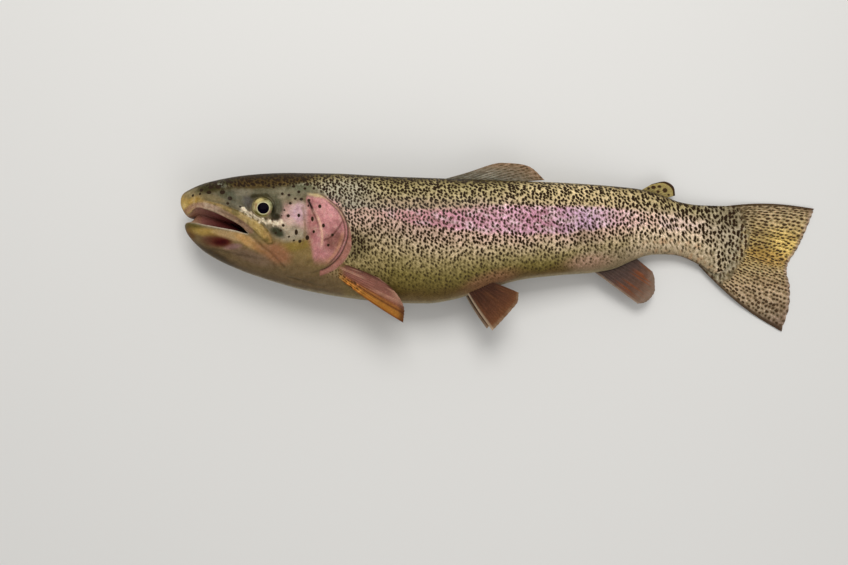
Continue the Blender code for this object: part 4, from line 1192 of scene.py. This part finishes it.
def fin_mesh(name, cad_node, material, root, edge, height, paint, rays, rows, thick, bow=0.0, ragged=0.5,
             fine=6, split=0.5):
    """A fin as a closed fan: two skins over the rays, thin webs between, and a slightly ragged edge.

    t counts across the rays and r along them. The half thickness goes from base to edge with r to the
    power 0.55, is halved in the webs, and thins to the fan's two sides.
    """
    columns = rays * fine + 1
    t, r = np.meshgrid(np.linspace(0, 1, columns), np.linspace(0, 1, rows))
    fray = 1 - ragged * 0.02 * (0.5 + 0.5 * ripple(t * rays, 0 * t, 2.3, 5))
    fray = fray - ragged * 0.01 * (1 - np.abs(np.cos(np.pi * rays * t)) ** 0.7)
    flat = fan_points(root, edge, t, r * fray, bow)
    x, y = flat[..., 0], flat[..., 1]
    ridge = ray_ridges(t, r, rays, split)
    half = (thick[0] + (thick[1] - thick[0]) * r**0.55) * (0.5 + 0.5 * ridge)
    half = np.maximum(half * (0.35 + 0.65 * ease(np.minimum(t, 1 - t) * 40)), 0.06)
    middle = np.maximum(height(x, y, t, r), half + 0.03)
    top = np.concatenate([flat, (middle + half)[..., None]], axis=-1)
    low = np.concatenate([flat, (middle - half)[..., None]], axis=-1)
    quads = grid_faces(rows, columns)
    grid = np.arange(rows * columns).reshape(rows, columns)
    rim = np.concatenate([grid[0, :-1], grid[:-1, -1], grid[-1, :0:-1], grid[:0:-1, 0]])
    after = np.roll(rim, -1)
    wall = np.stack([after, rim, rim + rows * columns, after + rows * columns], axis=-1)
    quads = np.concatenate([quads, quads[:, ::-1] + rows * columns, wall])
    colour, marks, specks = paint(x, y, t, r)
    tone_and_shade = 0.42 + 0.4 * ridge

    def both(values):
        return np.concatenate([values.reshape(rows * columns, -1)] * 2)

    points = np.concatenate([top.reshape(-1, 3), low.reshape(-1, 3)])
    fields = {"ink": both(marks), "tone_and_shade": both(tone_and_shade)}
    made = mesh_from(name, points, quads, material, both(colour), fields, both(specks))
    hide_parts(cad_node)


def lattice(across, down, size):
    """The weave of a fin: counts of marks across and down its rays, and the marks' size."""
    return np.stack([across, down, size + 0 * across], axis=-1)


def mid_plane(x, y, t, r):
    """A fin of the back or belly stands on the fish's mid-plane."""
    return spine(np.clip(x, 0, TAIL_END)) + 0 * y


def tail_height(x, y, t, r):
    """The tail fin sinks from the stalk until it lies on the floor, its lobes a little waved."""
    wave = 0.35 * np.sin(t * 9 + 1) * ease((r - 0.3) / 0.7)
    return 3.4 - 2.9 * ease((x - 398.0) / 45.0) + np.maximum(wave, 0)


def tail_paint(x, y, t, r):
    """Grey-green scaled base, gold rays with rows of dashes, dark leading edges and a pale hind margin."""
    border = 426 - 0.016 * (y - 6) ** 2 + 2.6 * ripple(x, y, 3, 3)
    colour = ramp(
        y, (-66, (120, 100, 90)), (-54, (148, 131, 110)), (-34, (168, 147, 118)), (-18, (164, 144, 104)),
        (-6, (184, 158, 98)), (6, (186, 163, 108)), (20, (172, 152, 116)), (30, (150, 132, 104)),
    )
    streaks = ease(ripple(t * 34, r * 3, 1.0, 19) * 1.7 + 0.1)
    colour = lay_all(colour, (
        ((210, 182, 108), 0.8 * patch(x, y, 456, 1, 14, 9, -14, 0.6)),
        ((184, 146, 70), 0.55 * patch(x, y, 443, -10, 20, 6, -16, 0.5)),
        # dark brown streaks at the middle of the fin's base, deepened as painted shade
        ((56, 36, 14), patch(x, y, 437, 1, 11, 12, 14, 0.7) * (0.35 + 0.65 * streaks)),
        ((92, 68, 42), 0.34 * streaks * ease((x - 424) / 8)),
        ((144, 134, 112), ease((border + 5 - x + 3 * ripple(x, y, 3, 23)) / 13)),
    ))
    colour = lay_all(tail_shade(colour, x, y), (
        ((168, 146, 132), 0.75 * ease((r - 0.955) / 0.03)),
        ((74, 56, 42), 0.85 * ease((0.045 - t) / 0.03) + 0.9 * ease((t - 0.965) / 0.03)),
    ))
    body = weave(np.minimum(x, 480.0), y, y)
    small = 0.31 + 0.08 * ease((border + 12 - x) / 12)
    small = small * ease((t - 0.01) / 0.02) * ease((0.995 - t) / 0.02) * (1 - 0.3 * ease((r - 0.93) / 0.05))
    rays = lattice((t - 0.5) * 36, r * np.interp(y, [-50, 10], [25, 20]), small)
    on_body = (x < border - 1)[..., None]
    sparse = 0.38 - 0.1 * ease((-9 - y) / 7)
    specks = np.where(on_body, np.stack([body[..., 0], y / 3.4, sparse], axis=-1), rays)
    specks[..., 2] *= ease((np.abs(x - border + 1) - 0.5) / 0.5)
    seam = 0.55 * bell(x - border + 1, 1.3) * ease(ripple(x, y, 2.2, 8) * 2 + 0.8)
    return lay(colour, (62, 50, 30), seam), 0 * x, specks


def dorsal_paint(x, y, t, r):
    """Grey-green webs with tan-brown rays and rows of dusky marks."""
    colour = ramp(
        r, (0.0, (120, 114, 96)), (0.3, (122, 118, 108)), (0.7, (134, 120, 102)), (1.0, (148, 122, 98))
    )
    webs = 0.5 * ease(ripple(t * 22, r * 3, 1.0, 12) * 1.6) * ease((0.75 - r) / 0.3)
    return lay(colour, (172, 168, 156), webs), 0 * x, lattice(t * 13, r * 12, 0.15 + 0.07 * r)


ADIPOSE_SPOTS = [
    (345.0, 42.0, 1.8, 0.75), (350.0, 42.8, 1.5, 0.7), (354.6, 40.0, 2.0, 0.85), (340.8, 41.0, 1.1, 0.9),
    (348.8, 38.8, 1.3, 0.8), (357.6, 36.6, 1.0, 0.8),
]


def adipose_paint(x, y, t, r):
    """Cream-yellow with a few black spots and a black rim."""
    colour = ramp(r, (0.0, (116, 102, 68)), (0.4, (172, 156, 106)), (1.0, (190, 174, 116)))
    rim = ease((r - 0.84) / 0.08) * (0.6 + 0.5 * ease(ripple(x, y, 3, 7) + 0.6))
    return colour, np.maximum(place_dots(x, y, ADIPOSE_SPOTS), rim), lattice(x, y, 0.0)


def anal_paint(x, y, t, r):
    """Grey-mauve at the base, streaks of orange-brown along the rays, and a pale edge."""
    colour = ramp(r, (0.0, (78, 66, 62)), (0.35, (90, 72, 70)), (0.7, (114, 86, 76)), (1.0, (150, 130, 120)))
    streak = ease(ripple(t * 26, r * 2.0, 1.0, 5) * 1.6) * ease((r - 0.3) / 0.3) * ease((1.02 - r) / 0.25)
    colour = lay(colour, (150, 84, 50), 0.75 * streak)
    colour = lay(colour, (176, 154, 140), 0.6 * ease((0.1 - t) / 0.08))
    return colour, 0 * x, lattice(t, r, 0.0)


def pectoral_paint(x, y, t, r):
    """Amber leading rays, a rosy web behind them and a brown rim."""
    colour = ramp(
        t, (0.0, (140, 78, 30)), (0.08, (184, 124, 54)), (0.2, (186, 128, 60)), (0.25, (112, 64, 36)),
        (0.29, (172, 114, 62)), (0.37, (140, 86, 66)), (0.5, (154, 104, 96)), (0.8, (146, 98, 90)),
        (1.0, (88, 56, 44)),
    )
    colour = lay_all(colour, (
        ((160, 138, 90), 0.6 * ease((0.12 - r) / 0.1)),
        ((86, 50, 32), 0.8 * ease((r - 0.88) / 0.1) + 0.6 * ease((t - 0.93) / 0.05)),
        ((204, 158, 142), 0.7 * ease(ripple(t * 18, r * 3, 1.0, 9) * 1.5) * ease((t - 0.3) / 0.2)),
    ))
    return colour, 0 * x, lattice(t * 7, r * 18, 0.24 * ease((0.5 - r) / 0.2) * ease((0.5 - t) / 0.2))


def pelvic_paint(x, y, t, r):
    """Brown-orange with pale tips."""
    colour = ramp(
        r, (0.0, (72, 44, 34)), (0.3, (78, 48, 36)), (0.7, (104, 66, 48)), (0.9, (120, 78, 54)),
        (1.0, (160, 134, 112)),
    )
    colour = lay_all(colour, (
        ((112, 72, 48), 0.5 * ease(ripple(t * 16, r * 2, 1.0, 4) * 1.4) * ease((r - 0.1) / 0.2)),
        ((208, 190, 172), 0.6 * ease((0.08 - t) / 0.06)),
    ))
    return colour, 0 * x, lattice(t, r, 0.0)


def make_tail(size, material):
    """The tail fin, its rays spread from the end of the stalk to a shallow fork."""
    root = along([(398.0, 28.0), (394, 14), (388, -4), (384.6, -17.2)])
    edge = along(
        [(481.6, 28.2), (478.6, 20.5), (472.6, 6.5), (467, -4), (460.4, -15.5), (459, -22.5), (462, -34),
         (461.2, -50), (455.4, -69.3)]
    )
    fin_mesh(
        "tail_fin", "caudal_fin", material, root, edge, tail_height, tail_paint, size.tail_rays, rows=90,
        thick=(2.1, 0.34), bow=-0.09, ragged=1.0, fine=10, split=0.34,
    )


def make_back_fins(material):
    """The dorsal fin and the small fleshy adipose fin behind it."""
    dorsal_root = along([(178, 42.2), (190, 41.8), (206, 41.6), (222, 41.4)])
    dorsal_edge = along([(199, 48.4), (226, 56.4), (246, 54.4), (258, 44.8)])
    adipose_root = along([(333, 38.4), (339, 36.5), (345, 34.9), (351, 33.1)])
    adipose_edge = along([(344, 44.6), (354, 46.8), (361.6, 43.2), (363.2, 36.2)])
    fin_mesh(
        "back_fin", "dorsal_fin", material, dorsal_root, dorsal_edge, mid_plane, dorsal_paint,
        rays=12, rows=40, thick=(1.1, 0.28),
    )
    fin_mesh(
        "fat_fin", "adipose_fin", material, adipose_root, adipose_edge, mid_plane, adipose_paint,
        rays=9, rows=30, thick=(1.5, 0.5), ragged=0.1,
    )


def make_anal_fin(material):
    """The fin behind the vent."""
    root = along([(292, -19.0), (303, -18.0), (315, -14.5), (328, -9.5)])
    edge = along([(332.5, -46.2), (338, -45.4), (343.2, -41.8), (346.6, -35.4), (346.6, -28.6), (344.6, -22)])
    fin_mesh(
        "vent_fin", "anal_fin", material, root, edge, mid_plane, anal_paint,
        rays=12, rows=56, thick=(1.1, 0.28), ragged=1.0,
    )


def paired_height(root_out, edge_out, side):
    """Height of a fin beside the body: its offset from the mid-plane changes from root to edge."""

    def height(x, y, t, r):
        near = root_out[0] * (1 - t) + root_out[1] * t
        far = edge_out[0] * (1 - t) + edge_out[1] * t
        return spine(x) + side * (near * (1 - r) + far * r)

    return height


def make_paired_fins(material):
    """The pectoral and pelvic fins of both flanks; those of the right one spread over the floor."""
    pectoral_root = along([(108.5, -27), (108.5, -23.5), (109.5, -20), (111.5, -17.5)])
    pectoral_edge = along([(152.8, -57.8), (153.3, -49), (147, -36.5), (136.5, -27.5)])
    pelvic_root = along([(198, -36.5), (204, -34.5), (210, -32.5), (216, -30.0)])
    pelvic_edge = along([(216.5, -64.2), (222, -58.5), (229.5, -50.2), (234.6, -43.4), (235.2, -37.4)])
    for word, side in SIDES:
        low = 1.0 if side > 0 else 1.15
        chest = paired_height((17.2, 21.4), (16.0 * low, 22.4), side)
        hip = paired_height((7.0, 10.5), (9.5 * low, 12.5 * low), side)
        fin_mesh(
            f"chest_fin_{word}", f"pectoral_fin_{word}", material, pectoral_root, pectoral_edge, chest,
            pectoral_paint, rays=13, rows=56, thick=(1.2, 0.3), bow=0.04, ragged=0.7,
        )
        fin_mesh(
            f"hip_fin_{word}", f"pelvic_fin_{word}", material, pelvic_root, pelvic_edge, hip, pelvic_paint,
            rays=10, rows=44, thick=(1.1, 0.3), bow=0.04, ragged=0.8,
        )


# ------------------------------------------------------------------------------------ eyes
def eye_material(colours):
    """The painted iris with a fine mottle, the black pupil, and a thin wet film."""
    material, tree, shader = new_material("eyeball")
    dark = between(tree, attribute(tree, "ink"), 0.44, 0.56)
    fine = between(tree, noise_at(tree, 0.5, 4.0), 0.3, 0.7)
    tint = mix(tree, (0.7, 0.68, 0.6, 1), (1.15, 1.15, 1.1, 1), fine)
    iris = mix(tree, attribute(tree, "paint", "Color"), tint, 0.8, "MULTIPLY")
    tree.links.new(mix(tree, iris, (*colours.pupil, 1), dark), shader.inputs["Base Color"])
    shader.inputs["Roughness"].default_value = 0.4
    shader.inputs["Specular IOR Level"].default_value = 0.0
    shader.inputs["Coat Weight"].default_value = 0.012
    shader.inputs["Coat Roughness"].default_value = 0.03
    return material


def iris_paint(dx, dy, pupil):
    """The iris: pale gold patches and dusky flecks, painted shadow along its top, with a pale ring round the
    pupil.
    """
    colour = ramp(
        np.hypot(dx, dy), (3.0, (158, 148, 108)), (5.4, (150, 142, 102)), (6.0, (128, 116, 80)),
        (6.5, (84, 78, 50)),
    )
    flecks = ease(ripple(EYE_X + dx, EYE_Y + dy, 1.1, 5) * 1.5 - 0.4)
    return lay_all(colour, (
        ((198, 182, 126), 0.9 * patch(dx, dy, -2.6, 4.4, 3.2, 1.5, 32, 0.7)),
        ((168, 172, 134), 0.7 * patch(dx, dy, 4.4, 2.6, 1.8, 2.8, 20, 0.7)),
        # painted shadow along the iris's top
        ((104, 96, 60), 0.8 * patch(dx, dy, 1.6, 5.6, 2.4, 0.8, -10, 0.7)),
        ((152, 108, 74), 0.75 * patch(dx, dy, -4.6, 0.4, 0.9, 2.2, -10, 0.7)),
        ((172, 164, 122), 0.8 * patch(dx, dy, -5.6, -1.0, 0.8, 2.2, -6, 0.7)),
        ((84, 78, 34), 0.9 * patch(dx, dy, -3.0, -4.6, 2.8, 1.1, -36, 0.6)),
        ((110, 102, 50), 0.85 * patch(dx, dy, 1.4, -5.4, 2.2, 1.0, 0, 0.7)),
        ((148, 118, 104), 0.9 * patch(dx, dy, 4.6, -4.2, 1.7, 1.9, 30, 0.6)),
        ((70, 62, 34), 0.5 * flecks * ease((pupil - 4.6) / 0.6)),
        ((204, 200, 164), 0.85 * bell(pupil - 4.05, 0.34)),
    ))


def eye_point(radius, turn, side, height):
    """A place by the eye, from its radius and turn round the centre.

    It stands at a height over a plane that leans as the cheek does.
    """
    dx, dy = radius * np.cos(turn), radius * np.sin(turn)
    lean_out = dx * -0.02 + dy * -0.16
    z = spine(EYE_X) + side * (section_depth(EYE_X, EYE_Y) + height + lean_out)
    return np.stack([EYE_X + dx, EYE_Y + dy, z], axis=-1), dx, dy


def make_eyes(size, colours):
    """Each eye is a shallow dome of rings that falls away past its rim, with a ring of skin round it."""
    material = eye_material(colours)
    rings, around = ((56, 96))
    turn = 2 * np.pi * np.arange(around)[None, :] / around
    r = np.linspace(0, 1, rings)[:, None]
    past = (r - 0.8) / 0.2
    radius = size.eye_radius * np.sin(np.minimum(r * 1.25, 1.0) * np.pi / 2)
    dome = 1.9 * (1 - (np.minimum(radius, 6.6) / 7.2) ** 3) - 5.5 * ease(past)
    radius = np.where(past > 0, size.eye_radius * (1 - 0.06 * past), radius)
    for word, side in SIDES:
        ball, dx, dy = eye_point(radius, turn, side, dome - 0.55)
        pupil = np.hypot((dx - PUPIL_X) * np.where(dx < PUPIL_X, 0.96, 1.02), dy - PUPIL_Y)
        lid, lid_colour = eyelid(turn, side)
        quads = grid_faces(rings, around, wrap=True, flip=side < 0)
        lid_quads = grid_faces(len(lid), around, wrap=True, flip=side < 0) + rings * around
        points = np.concatenate([ball, lid]).reshape(-1, 3)
        colour = np.concatenate([iris_paint(dx, dy, pupil), lid_colour]).reshape(-1, 3)
        marks = np.concatenate([0.5 + (3.8 - pupil) * 1.2, np.zeros((len(lid), around))])
        piece = mesh_from(
            f"eyeball_{word}", points, np.concatenate([quads, lid_quads]), material, colour,
            {"ink": marks, "tone_and_shade": 0 * marks},
        )
        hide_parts(f"eye_{word}")


def eyelid(turn, side):
    """A thin dark ring of skin round the eye: a circle swept round the socket, leant as the cheek is, and
    painted darker on its upper side as shade.
    """
    tube = np.linspace(0.0, 2 * np.pi, 13)[:, None]
    points, dx, dy = eye_point(EYE_RING + 0.5 * np.cos(tube), turn, side, 0.5 * np.sin(tube) - 0.15)
    x, y = EYE_X + dx, EYE_Y + dy
    # painted shade: the ring is darker on its upper side
    upper = ease(0.5 + 1.2 * np.cos(turn - 0.9)) + 0 * tube
    shade = lay(np.zeros((*x.shape, 3)) + rgb(124, 112, 80), (58, 54, 30), 0.9 * upper)
    return points, lay(shade, (132, 122, 90), 0.6 * ease(ripple(x, y, 1.9, 4) * 1.4))


def section_depth(x, y):
    """Distance from the mid-plane to the plain skin at a side-view place above the mouth's level."""
    rise = (y - upper_lip(x)) / (back(x) - upper_lip(x))
    return float(half_width(x) * (1 - rise**2) ** (SIDE_FULLNESS / 2))


# ------------------------------------------------------------------------------------ stage
def area_light(name, at, size, power, colour):
    """A square soft light that looks at the fish's middle."""
    light = bpy.data.lights.new(name, "AREA")
    light.shape, light.size, light.energy, light.color = "SQUARE", size, power, colour
    made = bpy.data.objects.new(name, light)
    made.location = at
    made.rotation_euler = (-Vector(at)).to_track_quat("-Z", "Y").to_euler()
    bpy.context.scene.collection.objects.link(made)


def make_stage(view):
    """A pale floor, a soft overcast key from the back's side, a weak fill, and the camera overhead."""
    mesh = bpy.data.meshes.new("floor")
    mesh.from_pydata([(-3, -3, 0), (3, -3, 0), (3, 3, 0), (-3, 3, 0)], [], [(0, 1, 2, 3)])
    floor = bpy.data.objects.new("floor", mesh)
    floor.location.z = -0.0004
    bpy.context.scene.collection.objects.link(floor)
    material, _, shader = new_material("pale_floor")
    shader.inputs["Base Color"].default_value = (0.7, 0.7, 0.69, 1)
    shader.inputs["Roughness"].default_value = 0.75
    mesh.materials.append(material)
    world = bpy.data.worlds.new("soft_sky")
    world.use_nodes = True
    world.node_tree.nodes["Background"].inputs["Color"].default_value = (1.0, 0.985, 0.96, 1)
    world.node_tree.nodes["Background"].inputs["Strength"].default_value = view.sky
    bpy.context.scene.world = world
    area_light("key", (-0.1, 0.7, 1.05), 0.6, view.key_power, (1.0, 0.98, 0.95))
    area_light("fill", (0.3, -0.9, 0.9), 0.9, view.fill_power, (1.0, 0.98, 0.96))
    place_camera(view)


def place_camera(view):
    """The camera looks down on the left flank, a little from the head's side, with the back upwards."""
    camera = bpy.data.cameras.new("camera")
    camera.lens, camera.sensor_width = view.lens, 36.0
    made = bpy.data.objects.new("camera", camera)
    yaw = math.radians(view.yaw)
    spot = to_row([view.camera_x, view.camera_y, view.camera_height])
    right = Vector((math.cos(yaw), 0, math.sin(yaw)))
    look_back = Vector((-math.sin(yaw), 0, math.cos(yaw)))
    turn = Matrix((right, (0, 1, 0), look_back)).transposed()
    made.matrix_world = Matrix.Translation(Vector(spot)) @ turn.to_4x4()
    bpy.context.scene.collection.objects.link(made)
    bpy.context.scene.camera = made
    bpy.context.scene.view_settings.view_transform = "Standard"


# ------------------------------------------------------------------------------------ the add-on
class TroutSize(bpy.types.PropertyGroup):
    """Sizes of the fish's details, in millimetres."""

    scale_pitch: FloatProperty(name="Scale pitch", description="Length of flank to one scale", default=2.2)
    scale_width: FloatProperty(name="Scale width", description="Distance between rows of scales", default=2.1)
    scale_lift: FloatProperty(name="Scale lift", description="The coat's depth over the skin", default=0.3)
    skin_around: IntProperty(name="Skin columns", description="Points round each ring of skin", default=272)
    head_rows: IntProperty(name="Head rows", description="Rings from the nape to the lips", default=205)
    tail_rays: IntProperty(name="Tail rays", description="Rays in the tail fin", default=19)
    eye_radius: FloatProperty(name="Eye radius", description="Radius of the eye in its socket", default=6.7)


class TroutColours(bpy.types.PropertyGroup):
    """Colours and finishes shared by skin, scales and fins."""

    ink: FloatVectorProperty(
        name="Spots", description="Colour of the black markings", subtype="COLOR", min=0, max=1,
        default=(0.022, 0.011, 0.004),
    )
    pupil: FloatVectorProperty(
        name="Pupil", description="Colour of the pupil", subtype="COLOR", min=0, max=1,
        default=(0.002, 0.0012, 0.004),
    )
    skin_roughness: FloatProperty(name="Skin roughness", description="Roughness of bare skin", default=0.42)
    scale_roughness: FloatProperty(name="Scale roughness", description="Roughness of the scales", default=0.4)


class TroutView(bpy.types.PropertyGroup):
    """The camera and the lights."""

    camera_x: FloatProperty(name="Camera along", description="Behind the snout, in mm", default=116.6)
    camera_y: FloatProperty(name="Camera up", description="Towards the back, in mm", default=-30.1)
    camera_height: FloatProperty(name="Camera height", description="Above the floor, in mm", default=519.3)
    yaw: FloatProperty(name="Yaw", description="Turn towards the tail, in degrees", default=6.0)
    lens: FloatProperty(name="Lens", description="Focal length, in mm", default=29.72)
    sky: FloatProperty(name="Sky", description="Strength of the even light", default=0.52)
    key_power: FloatProperty(name="Key", description="Power of the key light, in watts", default=9.0)
    fill_power: FloatProperty(name="Fill", description="Power of the fill light, in watts", default=2.6)


class TROUT_OT_skin(bpy.types.Operator):
    """Adds the one skin of the body."""

    bl_idname = "trout.skin"
    bl_label = "Add skin"

    def execute(self, context):
        make_skin(context.scene.trout_size, context.scene.trout_colours)
        return {"FINISHED"}


class TROUT_OT_scales(bpy.types.Operator):
    """Adds the scales of both flanks."""

    bl_idname = "trout.scales"
    bl_label = "Add scales"

    def execute(self, context):
        make_scales(context.scene.trout_size, context.scene.trout_colours)
        return {"FINISHED"}


class TROUT_OT_fins(bpy.types.Operator):
    """Adds all the fins."""

    bl_idname = "trout.fins"
    bl_label = "Add fins"

    def execute(self, context):
        dark = [1.9 * c for c in context.scene.trout_colours.ink]
        material = fish_material("fin_web", dark, 0.42, 0.06, 0.4, 0.6, fleshy=0.1, loose=0.56, lean=0.15)
        make_tail(context.scene.trout_size, material)
        make_back_fins(material)
        make_anal_fin(material)
        make_paired_fins(material)
        return {"FINISHED"}


class TROUT_OT_eyes(bpy.types.Operator):
    """Adds both eyes."""

    bl_idname = "trout.eyes"
    bl_label = "Add eyes"

    def execute(self, context):
        make_eyes(context.scene.trout_size, context.scene.trout_colours)
        return {"FINISHED"}


class TROUT_OT_stage(bpy.types.Operator):
    """Adds the floor, the lights and the camera."""

    bl_idname = "trout.stage"
    bl_label = "Add stage"

    def execute(self, context):
        make_stage(context.scene.trout_view)
        return {"FINISHED"}


class TROUT_PT_panel(bpy.types.Panel):
    """The sidebar panel with every size, colour and step."""

    bl_idname = "TROUT_PT_panel"
    bl_label = "Rainbow trout"
    bl_space_type = "VIEW_3D"
    bl_region_type = "UI"
    bl_category = "Trout"

    def draw(self, context):
        layout = self.layout
        for group in (context.scene.trout_size, context.scene.trout_colours, context.scene.trout_view):
            box = layout.box()
            for name in group.__annotations__:
                box.prop(group, name)
        for step in OPERATORS:
            layout.operator(step.bl_idname)


GROUPS = {"trout_size": TroutSize, "trout_colours": TroutColours, "trout_view": TroutView}
OPERATORS = (TROUT_OT_skin, TROUT_OT_scales, TROUT_OT_fins, TROUT_OT_eyes, TROUT_OT_stage)


def register():
    """Adds the groups, operators and panel, and puts the groups on the scene."""
    for name, group in GROUPS.items():
        bpy.utils.register_class(group)
        setattr(bpy.types.Scene, name, PointerProperty(type=group))
    for found in (*OPERATORS, TROUT_PT_panel):
        bpy.utils.register_class(found)


def unregister():
    """Takes all of it away again, last first."""
    for found in (TROUT_PT_panel, *reversed(OPERATORS)):
        bpy.utils.unregister_class(found)
    for name, group in GROUPS.items():
        delattr(bpy.types.Scene, name)
        bpy.utils.unregister_class(group)


def main():
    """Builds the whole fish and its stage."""
    register()
    bpy.ops.trout.skin()
    bpy.ops.trout.scales()
    bpy.ops.trout.fins()
    bpy.ops.trout.eyes()
    bpy.ops.trout.stage()


if __name__ == "__main__":
    main()
